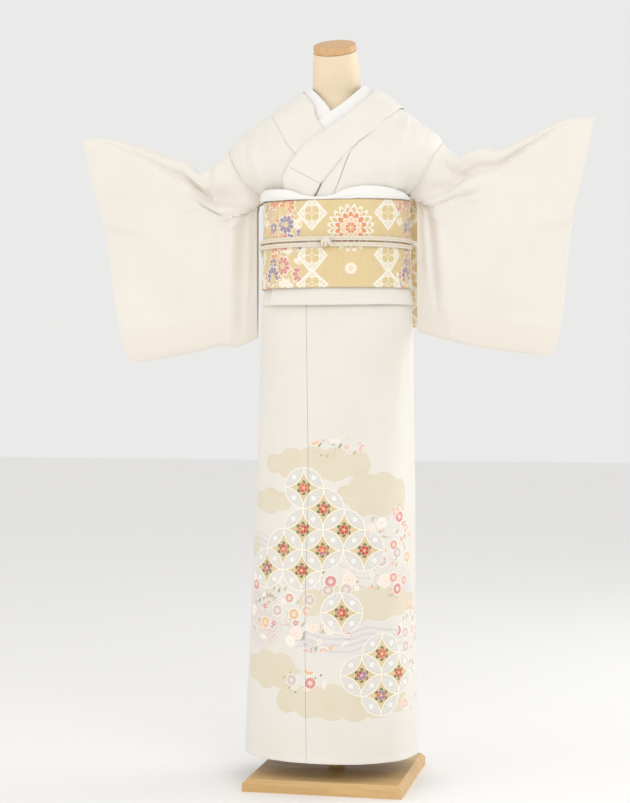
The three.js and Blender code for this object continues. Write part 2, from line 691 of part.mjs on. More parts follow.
// A point of a sleeve's wall: u runs out from the body, v runs down, and face is 1 at the front, -1 at the back.
function sleevePoint(sleeve, u, row, above, face) {
  const ridge = Math.max(RIDGE_DROP * (1 - u / RIDGE_END), 0.022);
  const v = above ? ridge * row.share : ridge + (1 - ridge) * row.share;
  const top = sampleShare(sleeve.top, u);
  const bottom = sampleShare(sleeve.bottom, u);
  const outer = sampleShare(sleeve.outer, v);
  const first = { top: sleeve.top[0], bottom: sleeve.bottom[0] };
  const last = { top: sleeve.top.at(-1), bottom: sleeve.bottom.at(-1) };
  const armhole = v < RIDGE_DROP;
  const seam = sampleShare(ARMHOLE, 1 - v / RIDGE_DROP);
  const angle = face > 0 ? seam.angle : 180 - seam.angle;
  const seamPoint = bodyPoint(seam.z, sleeve.side * angle, LIFT.bodice);
  const low = (v - RIDGE_DROP) / (1 - RIDGE_DROP);
  const furi = { out: lerp(158, FURI_OUT, smooth(0, 0.12, low)), z: lerp(ARMPIT_Z, first.bottom.z, low) };
  const inner = armhole ? { out: Math.abs(seamPoint.x) + SLEEVE_SEAM, z: seamPoint.z } : furi;
  const patch = (key) =>
    (1 - v) * top[key] +
    v * bottom[key] +
    (1 - u) * inner[key] +
    u * outer[key] -
    (1 - u) * ((1 - v) * first.top[key] + v * first.bottom[key]) -
    u * ((1 - v) * last.top[key] + v * last.bottom[key]);
  const rounded = (distance) => Math.sqrt(1 - (1 - Math.min(distance / SLEEVE_ROUND, 1)) ** 2);
  const rounding = rounded(v) * rounded(1 - v);
  const middle = -SLEEVE_FORWARD * u * (1 - v) - 3;
  const fade = smooth(0, 0.12, u) * (1 - smooth(0.8, 0.97, u));
  const swell = row.swell * fade * (face > 0 ? 1 : SLEEVE_BACK);
  const free = middle - face * SLEEVE_HOLLOW * rounding - swell;
  const held = armhole ? seamPoint.y : -face * 7 * rounding;
  return new THREE.Vector3(sleeve.side * patch("out"), lerp(held, free, smooth(0, 0.2, u)), patch("z"));
}

// A sleeve's rings round its hollow, from the body to the wrist: the top fold, down the front, up the back.
function sleeveRings(sleeve, stations) {
  const walls = [
    ...ABOVE_RIDGE.map((row) => ({ row, above: true })),
    ...BELOW_RIDGE.map((row) => ({ row, above: false })),
  ];
  const last = walls.length - 1;
  return stations.map((u) => [
    ...walls.map(({ row, above }) => sleevePoint(sleeve, u, row, above, 1)),
    ...walls.slice(1, last).reverse().map(({ row, above }) => sleevePoint(sleeve, u, row, above, -1)),
  ]);
}

// A bag of cloth through rings. Its first end is open, and its last end is open down to the slit's row and closed
// below it.
function bag(rings, slitRow, thickness) {
  const halves = halfWalls(rings, thickness, true);
  const columns = rings[0].length;
  const lowest = columns / 2;
  const count = rings.length * columns;
  const end = rings.length - 1;
  const outer = rings.flatMap((ring, i) => ring.map((p, j) => p.clone().add(halves[i][j])));
  const inner = rings.flatMap((ring, i) =>
    ring.map((p, j) => {
      const point = p.clone().sub(halves[i][j]);
      const closedHere = i === end && j >= slitRow && j <= columns - slitRow;
      const back = rings[end - 1][j].clone().sub(p).normalize().multiplyScalar(thickness);
      return closedHere ? point.add(back) : point;
    }),
  );
  const at = (i, j) => i * columns + ((j + columns) % columns);
  const faces = [];
  for (let i = 0; i < end; i += 1) {
    for (let j = 0; j < columns; j += 1) {
      const quad = [at(i, j), at(i, j + 1), at(i + 1, j + 1), at(i + 1, j)];
      faces.push(quad);
      faces.push(quad.map((k) => k + count).reverse());
    }
  }
  for (let j = 0; j < columns; j += 1) {
    faces.push([at(0, j + 1), at(0, j), at(0, j) + count, at(0, j + 1) + count]);
  }
  for (let j = -slitRow; j < slitRow; j += 1) {
    faces.push([at(end, j), at(end, j + 1), at(end, j + 1) + count, at(end, j) + count]);
  }
  faces.push([at(end, slitRow), at(end, -slitRow), at(end, -slitRow) + count, at(end, slitRow) + count]);
  for (let j = slitRow; j < lowest; j += 1) {
    const strip = [at(end, j), at(end, j + 1), at(end, columns - j - 1), at(end, columns - j)];
    const front = j + 1 === lowest ? [strip[0], strip[1], strip[3]] : strip;
    faces.push(front);
    faces.push(front.map((k) => k + count).reverse());
  }
  return closedGeometry([...outer, ...inner], faces);
}

function addSleeves() {
  for (const [name, sleeve] of Object.entries(SLEEVES)) {
    addPiece(`sleeve_${name}`, bag(sleeveRings(sleeve, SLEEVE_STATIONS), SLIT_ROW, CLOTH), SILK());
  }
}

// ------------------------------------------------------------------ obi set

// The obi's own stiff outline, at the middle of its wall.
const OBI_ROWS = [
  { share: 0, half: 149.7, front: 121.5, back: 110 },
  { share: 0.12, half: 147.8, front: 121.6, back: 109.5 },
  { share: 0.5, half: 145.8, front: 122, back: 109 },
  { share: 0.9, half: 145, front: 122.5, back: 109.5 },
  { share: 1, half: 145, front: 122.5, back: 110 },
];
const OBI_BOTTOM_Z = 976;
const OBI_TOP_Z = 1145;
const OBI_BOTTOM_RISE = 1.5; // how much higher the bottom edge lies at the sides, and twice that at the back
const OBI_TOP_RISE = 7; // and the top edge
const OBI_POWER = 2.3;
const OBI_END_ANGLE = 0.15; // from the middle of the back to each end of the band

const obiBottom = (degrees) => OBI_BOTTOM_Z + OBI_BOTTOM_RISE * (1 - Math.cos(radians(degrees)));
const obiTop = (degrees) => OBI_TOP_Z + OBI_TOP_RISE * (1 - Math.cos(radians(degrees)));

// A point on the obi, at a share of its height and moved out by clear.
function obiPoint(share, degrees, clear) {
  const { half, front, back } = sample(OBI_ROWS, "share", share);
  const s = Math.sin(radians(degrees));
  const c = Math.cos(radians(degrees));
  const k = (Math.abs(s) ** OBI_POWER + Math.abs(c) ** OBI_POWER) ** (-1 / OBI_POWER);
  const depth = (c > 0 ? front : back) + clear;
  return new THREE.Vector3((half + clear) * k * s, -depth * k * c, lerp(obiBottom(degrees), obiTop(degrees), share));
}

const DRUM = { half: 150, thickness: 3 };
// The drum bow from its start at the obi's back, over the pad, down and round its lower fold: depth and height.
const DRUM_PATH = [
  { y: 113, z: 1168 },
  { y: 118, z: 1188 },
  { y: 134, z: 1204 },
  { y: 156, z: 1207 },
  { y: 178, z: 1196 },
  { y: 191, z: 1168 },
  { y: 196, z: 1120 },
  { y: 196, z: 1060 },
  { y: 192, z: 1010 },
  { y: 181, z: 986 },
  { y: 161, z: 978 },
  { y: 142, z: 985 },
  { y: 131, z: 1008 },
  { y: 128.6, z: 1050 },
];
const HAND = { half: 172, bottom: 996, top: 1140, y: 120, thickness: 4 };
const FLAP = { half: 149, bottom: 905, top: 990, y: 116.4 };
const CORD = { halfHeight: 4.3, halfDepth: 3.1, z: 1070, tailZ: 1058.4, clear: 0.8 };
const KNOT = { x: 6, halfWidth: 13, halfDepth: 6.5, halfHeight: 10.5 };

// A cord along points, closed on itself or with flat ends.
function cord(points, halfHeight, halfDepth, closed) {
  const curve = new THREE.CatmullRomCurve3(points, closed);
  const spans = closed ? points.length : points.length - 1;
  const rings = points.map((centre, i) => {
    const way = curve.getTangent(i / spans);
    const out = way.clone().cross(new THREE.Vector3(0, 0, 1)).normalize();
    const up = out.clone().cross(way).normalize();
    return range(8, (j) => {
      const angle = (j * Math.PI) / 4;
      return centre
        .clone()
        .addScaledVector(up, halfHeight * Math.cos(angle))
        .addScaledVector(out, halfDepth * Math.sin(angle));
    });
  });
  return loft(rings, closed);
}

function addObi() {
  // The band's ends meet at the back, under the drum.
  const around = steps(OBI_END_ANGLE - 180, 180 - OBI_END_ANGLE, 44);
  const band = [0, 0.12, 0.5, 0.88, 1].map((share) => around.map((t) => obiPoint(share, t, 0)));
  addPiece("obi_band", wall(band, OBI), BROCADE());

  const across = steps(-1, 1, 4);
  const drum = DRUM_PATH.map(({ y, z }) => across.map((x) => new THREE.Vector3(x * DRUM.half, y - 4 * x * x, z)));
  addPiece("obi_drum", wall(drum, DRUM.thickness), BROCADE());
  const strip = (half, bottom, top, y) =>
    steps(bottom, top, 2).map((z) => across.map((x) => new THREE.Vector3(x * half, y, z)));
  addPiece("obi_hand", wall(strip(HAND.half, HAND.bottom, HAND.top, HAND.y), HAND.thickness), BROCADE());
  addPiece("obi_flap", wall(strip(FLAP.half, FLAP.bottom, FLAP.top, FLAP.y), OBI), BROCADE());
}

// The sash shows over the obi's top edge: its angle, how far it rises over that edge, half its depth, and how far
// the cloth behind it stands out.
const OBIAGE_ROWS = [
  { angle: -112, rise: 6, depth: 3, cover: 12 },
  { angle: -92, rise: 6, depth: 3.2, cover: 12 },
  { angle: -76, rise: 9, depth: 4, cover: 14 },
  { angle: -60, rise: 20, depth: 5, cover: 20 },
  { angle: -44, rise: 23, depth: 5, cover: 22.5 },
  { angle: -28, rise: 20, depth: 5, cover: 22 },
  { angle: -16, rise: 9, depth: 4, cover: 21.5 },
  { angle: -4, rise: 6, depth: 3.6, cover: 18.5 },
  { angle: 6, rise: 9, depth: 4, cover: 17 },
  { angle: 16, rise: 20, depth: 5, cover: 17 },
  { angle: 30, rise: 26, depth: 5, cover: 18 },
  { angle: 46, rise: 23, depth: 5, cover: 20 },
  { angle: 62, rise: 16, depth: 4.6, cover: 20 },
  { angle: 76, rise: 9, depth: 4, cover: 14 },
  { angle: 92, rise: 6, depth: 3.2, cover: 12 },
  { angle: 112, rise: 6, depth: 3, cover: 12 },
];
const SASH_CLEAR = 1.4; // from the cloth behind it

function addSash() {
  const rings = steps(0, 1, 40).map((share) => {
    const { angle, rise, depth, cover } = sampleShare(OBIAGE_ROWS, share);
    const bottom = obiTop(angle) + SASH_CLEAR / 2;
    const back = bodyPoint(bottom + rise, angle, cover + SASH_CLEAR);
    const outward = bodyPoint(bottom + rise, angle, cover + 2 * SASH_CLEAR).sub(back).setZ(0).normalize();
    return range(8, (j) => {
      const turn = (j * Math.PI) / 4;
      return back
        .clone()
        .addScaledVector(outward, depth * (1 + Math.sin(turn)))
        .setZ(bottom + (rise / 2) * (1 - Math.cos(turn)));
    });
  });
  addPiece("obiage", loft(rings), WHITE_SILK());
}

function addCord() {
  const share = (z) => (z - OBI_BOTTOM_Z) / (OBI_TOP_Z - OBI_BOTTOM_Z);
  const clear = OBI / 2 + CORD.clear + CORD.halfDepth;
  const round = (z, from, to, count) =>
    steps(from, to, count).map((t) => obiPoint(share(z), t, clear).setZ(z));
  const behind = HAND.y + HAND.thickness / 2 + CORD.clear + CORD.halfDepth;
  const corner = HAND.half + CORD.clear + CORD.halfDepth + 3;
  const overHand = [
    [corner - 11, 90],
    [corner - 2, 106],
    [corner, 117],
    [corner - 2, behind - 1],
    [corner - 9, behind + 1],
    [140, behind],
    [0, behind],
  ].map(([x, y]) => new THREE.Vector3(x, y, CORD.z));
  const otherSide = overHand.slice(0, -1).reverse().map((p) => new THREE.Vector3(-p.x, p.y, p.z));
  const loop = [...round(CORD.z, -96, 96, 24), ...overHand, ...otherSide];
  addPiece("obijime_loop", cord(loop, CORD.halfHeight, CORD.halfDepth, true), BRAID());

  const tails = [
    { name: "obijime_tail_left", from: 4.5, to: 88, drop: 0 },
    { name: "obijime_tail_right", from: 1.5, to: -84, drop: 16 },
  ];
  for (const { name, from, to, drop } of tails) {
    const points = round(CORD.tailZ, from, to, 14);
    const tip = points.at(-1);
    if (drop > 0) {
      points.push(new THREE.Vector3(tip.x, tip.y + 4, tip.z - drop / 2));
      points.push(new THREE.Vector3(tip.x, tip.y + 5, tip.z - drop));
    }
    addPiece(name, cord(points, CORD.halfHeight, CORD.halfDepth, false), BRAID());
  }

  const front = obiPoint(share(CORD.z), 0, clear).y;
  const knot = new THREE.SphereGeometry(1, 16, 10).scale(KNOT.halfWidth, KNOT.halfDepth, KNOT.halfHeight);
  const knotZ = (CORD.z + CORD.tailZ) / 2;
  knot.translate(KNOT.x, front - CORD.halfDepth - CORD.clear - KNOT.halfDepth, knotZ);
  addPiece("obijime_knot", knot, BRAID());
}

addForm();
addSkirt();
addBodyLengths();
addCollars();
addSleeves();
addObi();
addSash();
addCord();

export default kimono;
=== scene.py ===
"""An irotomesode kimono with its obi set, dressed on a limbless dress form.

Sizes are in millimetres until a mesh is made, which is in metres. +Z is up, the front faces -Y and the
wearer's left is +X. Angles round the body are in degrees, 0 at the front and 90 at the wearer's left.
"""

import logging
import math
from dataclasses import dataclass
from enum import Enum
from typing import Any, Callable, Optional, Sequence, Union

import bpy
import numpy as np
from mathutils import Matrix, Vector


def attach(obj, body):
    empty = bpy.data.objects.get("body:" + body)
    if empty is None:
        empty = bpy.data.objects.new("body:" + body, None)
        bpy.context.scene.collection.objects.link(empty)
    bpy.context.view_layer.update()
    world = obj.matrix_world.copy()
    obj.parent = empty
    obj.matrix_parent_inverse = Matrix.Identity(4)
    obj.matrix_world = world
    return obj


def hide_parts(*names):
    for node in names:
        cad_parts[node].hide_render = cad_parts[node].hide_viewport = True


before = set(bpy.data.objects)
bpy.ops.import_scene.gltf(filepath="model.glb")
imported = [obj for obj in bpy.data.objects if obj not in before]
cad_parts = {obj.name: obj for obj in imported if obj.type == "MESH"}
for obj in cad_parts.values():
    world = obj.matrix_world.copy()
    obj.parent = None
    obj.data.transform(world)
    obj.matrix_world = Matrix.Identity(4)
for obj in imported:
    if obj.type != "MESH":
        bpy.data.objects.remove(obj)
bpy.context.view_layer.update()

log = logging.getLogger("kimono")
MM = 0.001
SHARP_DEGREES = 62
Array = np.ndarray
Colour = tuple[float, float, float]
Rows = Sequence[tuple[float, ...]]
Curve = Callable[[Array], Array]
Material = bpy.types.Material
# The height, the angle and the lift of each point of a grid on the body.
OnBody = tuple[Array, Array, Array]


# ---- numbers and tables


def ease(low: float, high: float, x: Any) -> Any:
    """A smooth step from 0 at low to 1 at high."""
    s = np.clip((x - low) / (high - low), 0.0, 1.0)
    return s * s * (3 - 2 * s)


def blend(a: Any, b: Any, share: Any) -> Any:
    """The value between a and b at a share of the way."""
    return a + (b - a) * share


def bell(x: Any, width: float) -> Any:
    """A bell that is 1 at 0 and fades to a third at width."""
    return np.exp(-((x / width) ** 2))


def rounded(x: Any) -> Any:
    """The rise of a quarter circle, from 0 at 0 to 1 at 1 and beyond."""
    return np.sqrt(1 - (1 - np.clip(x, 0, 1)) ** 2)


def unit(vectors: Array) -> Array:
    """Vectors with their length made 1."""
    return vectors / np.linalg.norm(vectors, axis=-1, keepdims=True)


def curve_rows(rows: Array, x: Any) -> Array:
    """The rows of a table, blended on a smooth curve.

    Args:
        rows: The table, whose first column is the key.
        x: The keys to read it at.

    Returns:
        The other columns at each key, on the last axis.
    """
    rows = np.asarray(rows, dtype=float)
    x = np.asarray(x, dtype=float)
    last = len(rows) - 1
    i = np.clip(np.searchsorted(rows[:, 0], x, side="left") - 1, 0, last - 1)
    a, b = rows[i], rows[i + 1]
    before, after = rows[np.maximum(i - 1, 0)], rows[np.minimum(i + 2, last)]
    step = b[..., :1] - a[..., :1]
    s = (x[..., None] - a[..., :1]) / step
    slope_a = (b - before) / (b[..., :1] - before[..., :1]) * step
    slope_b = (after - a) / (after[..., :1] - a[..., :1]) * step
    t = np.clip(s, 0.0, 1.0)
    out = (2 * t**3 - 3 * t**2 + 1) * a + (t**3 - 2 * t**2 + t) * slope_a
    out = out + (3 * t**2 - 2 * t**3) * b + (t**3 - t**2) * slope_b
    out = out + slope_a * np.minimum(s, 0) + slope_b * np.maximum(s - 1, 0)
    return out[..., 1:]


def share_rows(rows: Union[Rows, Array], share: Any) -> Array:
    """The rows of a table at a share of its length, from 0 at its first row to 1 at its last."""
    table = np.asarray(rows, dtype=float)
    numbered = np.column_stack([np.arange(len(table)), table])
    return curve_rows(numbered, np.asarray(share, dtype=float) * (len(table) - 1))


def arc_lengths(points: Array, axis: int) -> Array:
    """How far along the lines of a grid, which run along an axis, each of its points is."""
    legs = np.linalg.norm(np.diff(points, axis=axis), axis=-1)
    start = np.zeros_like(np.take(legs, [0], axis=axis))
    return np.concatenate([start, np.cumsum(legs, axis=axis)], axis=axis)


def smoothed(rows: Array, width: int) -> Array:
    """Rows of a table with its small steps evened out and its ends kept.

    Args:
        rows: The rows, one below the other.
        width: How many rows each way count towards a row.

    Returns:
        As many rows.
    """
    before = 2 * rows[:1] - rows[width:0:-1]
    after = 2 * rows[-1:] - rows[-2:-width - 2:-1]
    weights = np.hanning(2 * width + 3)[1:-1]
    padded = np.concatenate([before, rows, after])
    columns = [np.convolve(column, weights / weights.sum(), "valid") for column in padded.T]
    return np.stack(columns, -1)


def fine(values: Sequence[float], step: float) -> Array:
    """The values of a list with more between them, no further than step apart."""
    out: list[float] = []
    for a, b in zip(values[:-1], values[1:]):
        count = max(1, math.ceil(abs(b - a) / step))
        out.extend(np.linspace(a, b, count, endpoint=False))
    return np.array(out + [values[-1]])


# ---- the dressed body

# Level sections of the innermost surface: height, half the width, depth to the front and to the back of
# the axis, sideways shift and the power of the outline.
SECTIONS = np.array([
    (40, 171, 141, 119, -9, 2.2), (155, 168, 136, 116, -8, 2.2), (356, 161, 128, 114, -5.5, 2.2),
    (557, 156.5, 122, 112, -1, 2.2), (757, 152, 118, 110, 0.5, 2.2), (880, 149.5, 113, 108, 1.5, 2.2),
    (941, 146, 107, 104, 1, 2.15), (976, 138, 101, 98, 1, 2.1), (1010, 135, 99, 95, 1, 2.1),
    (1060, 133, 98, 94, 0, 2.1), (1120, 131, 98, 94, 0, 2.1), (1163, 131.5, 99, 96, 0, 2.1),
    (1177, 149, 100, 98, 0, 2.05), (1196, 177, 101, 100, -2, 2), (1215, 194, 100, 101, -4, 2),
    (1245, 208, 95, 101, -5, 1.95), (1262, 207, 88, 99, -3, 1.9), (1275, 197, 82, 97, 0, 1.9),
    (1296, 169, 75, 94, -2, 1.9), (1315, 145, 69, 94, 1, 2), (1332, 114, 62, 97, 6, 2),
    (1350, 91, 53, 99, 7, 2), (1364, 70, 45, 98, 6, 2), (1376, 54, 39, 92, 4, 2), (1390, 42, 34, 84, 3, 2),
])


def outline(half: Any, front: Any, back: Any, power: Any, degrees: Any) -> tuple[Array, Array]:
    """A point of a level outline between a circle and a box.

    Args:
        half: Half the outline's width.
        front: Its depth to the front.
        back: Its depth to the back.
        power: 2 for an ellipse, and more for squarer corners.
        degrees: The angle round the body.

    Returns:
        The point's X and Y.
    """
    s, c = np.sin(np.radians(degrees)), np.cos(np.radians(degrees))
    k = (np.abs(s) ** power + np.abs(c) ** power) ** (-1 / power)
    return half * k * s, -np.where(c > 0, front, back) * k * c


def innermost(z: Any, degrees: Any) -> Array:
    """A point of the innermost surface of the dressed body, at a height and an angle."""
    z, degrees = np.broadcast_arrays(np.asarray(z, float), np.asarray(degrees, float))
    half, front, back, shift, power = np.moveaxis(curve_rows(SECTIONS, z), -1, 0)
    x, y = outline(half, front, back, power, degrees)
    return np.stack([shift + x, y, z], axis=-1)


def body_point(z: Any, degrees: Any, lift: Any) -> Array:
    """A point over the innermost surface.

    Args:
        z: Its height.
        degrees: Its angle round the body.
        lift: How far it is moved out along the surface's normal.

    Returns:
        The points, with their three parts on the last axis.
    """
    z, degrees = np.broadcast_arrays(np.asarray(z, float), np.asarray(degrees, float))
    up = innermost(z + 0.5, degrees) - innermost(z - 0.5, degrees)
    along = innermost(z, degrees + 0.1) - innermost(z, degrees - 0.1)
    normal = np.cross(along, up)
    normal = unit(normal)
    return innermost(z, degrees) + normal * np.asarray(lift, float)[..., None]


def body_arc(z: Array, degrees: Array) -> Array:
    """How far round the body a point is from the middle of the front.

    Args:
        z: Its height.
        degrees: Its angle.

    Returns:
        The lengths, below 0 on the wearer's right.
    """
    ring = np.arange(-190.0, 191.0, 2.0)
    z, degrees = np.broadcast_arrays(z, degrees)
    out = np.empty(z.shape)
    degrees = np.where(degrees > 180, degrees - 360, degrees)
    for level in np.unique(z):
        lengths = arc_lengths(innermost(np.full(ring.shape, level), ring), 0)
        here = z == level
        out[here] = np.interp(degrees[here], ring, lengths - np.interp(0, ring, lengths))
    return out


@dataclass(frozen=True)
class Crease:
    """A soft ridge or groove in the cloth, between two places on it.

    Attributes:
        start: Its first end, across and up.
        end: Its last end, across and up.
        width: Half its width.
        height: How far it stands out, or in where it is below 0.
    """

    start: tuple[float, float]
    end: tuple[float, float]
    width: float
    height: float

    def at(self, across: Array, up: Array) -> Array:
        """How far the crease moves each place of the cloth.

        Args:
            across: How far across each place is.
            up: How far up it is.

        Returns:
            The distances outwards.
        """
        way = np.subtract(self.end, self.start)
        length = float(np.hypot(*way))
        way = way / length
        x, y = across - self.start[0], up - self.start[1]
        along = x * way[0] + y * way[1]
        aside = y * way[0] - x * way[1]
        share = np.clip(along / length, 0, 1)
        beyond = along - share * length
        reach = self.width * (0.55 + 0.9 * share * (1 - share) * 2)
        return self.height * np.exp(-(aside**2) / reach**2 - beyond**2 / (2.2 * self.width) ** 2)


def crease_table(*rows: tuple[float, ...]) -> tuple[Crease, ...]:
    """The creases of rows with a start, an end, a width and a height."""
    return tuple(Crease(row[:2], row[2:4], row[4], row[5]) for row in rows)


def creased(creases: Sequence[Crease], across: Array, up: Array) -> Array:
    """The sum of the creases at each place of the cloth."""
    total = np.zeros(np.broadcast(across, up).shape)
    for crease in creases:
        total = total + crease.at(across, up)
    return total


# ---- shader maths


class Wire:
    """A shader socket that takes part in arithmetic."""

    def __init__(self, nodes: "Nodes", socket: Any) -> None:
        """Keep the socket and the nodes that it belongs to."""
        self.nodes = nodes
        self.socket = socket

    def __add__(self, other: "Value") -> "Wire":
        """Add."""
        return self.nodes.maths("ADD", self, other)

    __radd__ = __add__

    def __sub__(self, other: "Value") -> "Wire":
        """Subtract."""
        return self.nodes.maths("SUBTRACT", self, other)

    def __rsub__(self, other: "Value") -> "Wire":
        """Subtract from."""
        return self.nodes.maths("SUBTRACT", other, self)

    def __mul__(self, other: "Value") -> "Wire":
        """Multiply."""
        return self.nodes.maths("MULTIPLY", self, other)

    __rmul__ = __mul__

    def __truediv__(self, other: "Value") -> "Wire":
        """Divide."""
        return self.nodes.maths("DIVIDE", self, other)

    def __mod__(self, other: "Value") -> "Wire":
        """The remainder, never below 0."""
        return self.nodes.maths("FLOORED_MODULO", self, other)

    def __pow__(self, other: "Value") -> "Wire":
        """Raise to a power."""
        return self.nodes.maths("POWER", self, other)

    def __abs__(self) -> "Wire":
        """The size without its sign."""
        return self.nodes.maths("ABSOLUTE", self)

    def least(self, other: "Value") -> "Wire":
        """The lesser of two."""
        return self.nodes.maths("MINIMUM", self, other)

    def most(self, other: "Value") -> "Wire":
        """The greater of two."""
        return self.nodes.maths("MAXIMUM", self, other)

    def sine(self) -> "Wire":
        """The sine."""
        return self.nodes.maths("SINE", self)

    def above(self, level: "Value", soft: float) -> "Wire":
        """1 where it is above a level and 0 below, over a soft edge."""
        slope = (self - level) * (1 / soft)
        return self.nodes.maths("ADD", slope, 0.5, clamp=True)

    def below(self, level: "Value", soft: float) -> "Wire":
        """1 where it is below a level and 0 above, over a soft edge."""
        return 1 - self.above(level, soft)

    def near(self, level: "Value", half: "Value", soft: float) -> "Wire":
        """1 within half of a level."""
        return abs(self - level).below(half, soft)


Value = Union[Wire, float]


class Nodes:
    """The nodes of one material, with its shader and its sockets."""

    def __init__(self, name: str) -> None:
        """Make an empty material with one principled shader."""
        self.material = bpy.data.materials.new(name)
        self.material.use_nodes = True
        self.tree = self.material.node_tree
        self.tree.nodes.clear()
        self.output = self.tree.nodes.new("ShaderNodeOutputMaterial")
        self.shader = self.tree.nodes.new("ShaderNodeBsdfPrincipled")
        self.tree.links.new(self.shader.outputs["BSDF"], self.output.inputs["Surface"])

    def node(self, kind: str, settings: dict[str, Any], inputs: dict[Any, Any], out: Any = 0) -> Wire:
        """Add a node.

        Args:
            kind: The node's type.
            settings: Its settings, which are set first; "stops" fills a colour ramp.
            inputs: A value or a wire for each named or numbered socket.
            out: Which output to return.

        Returns:
            The wire from that output.
        """
        made = self.tree.nodes.new(kind)
        for key, value in settings.items():
            if key != "stops":
                setattr(made, key, value)
                continue
            while len(made.color_ramp.elements) < len(value):
                made.color_ramp.elements.new(0.5)
            for element, (position, colour) in zip(made.color_ramp.elements, value):
                element.position = position
                element.color = (*colour, 1)
        for key, value in inputs.items():
            if isinstance(value, Wire):
                self.tree.links.new(value.socket, made.inputs[key])
            else:
                made.inputs[key].default_value = value
        return Wire(self, made.outputs[out])

    def maths(self, operation: str, a: Value, b: Value = 0.0, clamp: bool = False) -> Wire:
        """Add a Math node."""
        return self.node("ShaderNodeMath", {"operation": operation, "use_clamp": clamp}, {0: a, 1: b})

    def mix(self, share: Value, a: Any, b: Any, mode: str = "MIX") -> Wire:
        """Mix two colours, each a wire or three numbers."""
        a, b = (x if isinstance(x, Wire) else (*x, 1) for x in (a, b))
        settings = {"data_type": "RGBA", "blend_type": mode}
        return self.node("ShaderNodeMix", settings, {0: share, 6: a, 7: b}, 2)

    def vector(self, operation: str, a: Any, b: Any = (0, 0, 0), out: Any = 0) -> Wire:
        """Add a Vector Math node."""
        return self.node("ShaderNodeVectorMath", {"operation": operation}, {0: a, 1: b}, out)

    def split(self, vector: Wire) -> tuple[Wire, Wire, Wire]:
        """The three parts of a vector."""
        parts = self.node("ShaderNodeSeparateXYZ", {}, {0: vector})
        return parts, Wire(self, parts.socket.node.outputs[1]), Wire(self, parts.socket.node.outputs[2])

    def join(self, x: Value, y: Value, z: Value = 0.0) -> Wire:
        """A vector of three numbers."""
        return self.node("ShaderNodeCombineXYZ", {}, {0: x, 1: y, 2: z})

    def place(self) -> Wire:
        """The place in the piece, in metres."""
        return self.node("ShaderNodeTexCoord", {}, {}, "Object")

    def cloth(self) -> tuple[Wire, Wire]:
        """The place on the flat cloth, across and along, in millimetres."""
        uv = self.node("ShaderNodeUVMap", {"uv_map": "Cloth"}, {})
        across, along, _ = self.split(self.vector("SCALE", uv))
        across.socket.node.inputs[0].links[0].from_node.inputs["Scale"].default_value = 1 / MM
        return across, along

    def noise(self, vector: Wire, scale: float, detail: float = 2.0, rough: float = 0.5) -> Wire:
        """Soft noise from 0 to 1."""
        inputs = {"Vector": vector, "Scale": scale, "Detail": detail, "Roughness": rough}
        return self.node("ShaderNodeTexNoise", {}, inputs)

    def set(self, name: str, value: Any) -> None:
        """Give a socket of the shader a value or a wire."""
        socket = self.shader.inputs[name]
        if isinstance(value, Wire):
            self.tree.links.new(value.socket, socket)
        elif name.endswith(("Color", "Tint")):
            socket.default_value = (*value, 1)
        else:
            socket.default_value = value

    def bump(self, height: Value, distance: float) -> None:
        """Let a height move the light over the surface; a height of 1 stands for the distance in metres."""
        inputs = {"Height": height, "Distance": distance, "Strength": 1.0}
        self.set("Normal", self.node("ShaderNodeBump", {}, inputs))

    def clouded(self, colour: Colour, shade: Colour) -> Wire:
        """A colour with wide soft patches of its shade."""
        return self.mix(self.noise(self.place(), 7.0, 3.0).above(0.5, 0.5), colour, shade)

    def crepe(self, face: Wire, hollow: Colour, grain: float = 1500.0, relief: float = 0.00012,
              roughness: float = 0.62) -> None:
        """Give the shader the pebbled face and the soft sheen of silk crepe.

        Args:
            face: The cloth's colour.
            hollow: The painted shade between the pebbles, where the bump sets the cloth deepest.
            grain: How fine the pebbles are.
            relief: How deep they are, in metres.
            roughness: The roughness of a flat place.
        """
        place = self.place()
        pebble = self.noise(place, grain, 2.0, 0.6)
        thread = self.noise(place, grain * 0.3, 3.0, 0.6)
        # Painted shade: the hollows between the pebbles are darkened towards the hollow colour.
        self.set("Base Color", self.mix((1 - pebble) * 0.1, face, hollow))
        self.set("Roughness", roughness + (pebble - 0.5) * 0.16)
        self.set("Sheen Weight", 0.25)
        self.set("Sheen Roughness", 0.4)
        self.bump(pebble * 0.6 + thread * 0.4, relief)


class Slot(Enum):
    """The material slots of the record."""

    FORM_SKIN = "form_skin"
    OAK = "oak"
    SILK = "silk"
    WHITE_SILK = "white_silk"
    BROCADE = "brocade"
    BRAID = "braid"


# ---- finishes


# The shade colours below darken wide random patches of their cloth, and are the painted shade between the
# crepe's pebbles.
IVORY: Colour = (0.815, 0.785, 0.725)
IVORY_SHADE: Colour = (0.775, 0.74, 0.675)
SLEEVE_IVORY: Colour = (0.835, 0.80, 0.735)
SLEEVE_SHADE: Colour = (0.785, 0.745, 0.675)
WHITE: Colour = (0.88, 0.87, 0.85)
WHITE_SHADE: Colour = (0.83, 0.82, 0.80)
GOLD: Colour = (0.72, 0.54, 0.22)
PALE_GOLD: Colour = (0.76, 0.68, 0.51)
CLOUD_TAN: Colour = (0.72, 0.64, 0.475)
FLOWER_HEART: Colour = (0.80, 0.62, 0.27)
PETAL_COLOURS: tuple[Colour, ...] = (
    (0.70, 0.20, 0.10), (0.80, 0.42, 0.34), (0.90, 0.86, 0.80), (0.60, 0.44, 0.44), (0.80, 0.42, 0.14),
    (0.62, 0.12, 0.12), (0.90, 0.74, 0.64),
)
RING_PETALS: tuple[Colour, ...] = (
    (0.56, 0.06, 0.05), (0.66, 0.20, 0.14), (0.50, 0.05, 0.07), (0.34, 0.20, 0.40), (0.74, 0.16, 0.08),
    (0.56, 0.06, 0.05),
)
BROCADE_PETALS: tuple[Colour, ...] = (
    (0.74, 0.25, 0.09), (0.66, 0.20, 0.17), (0.90, 0.84, 0.72), (0.24, 0.16, 0.28), (0.76, 0.26, 0.10),
)


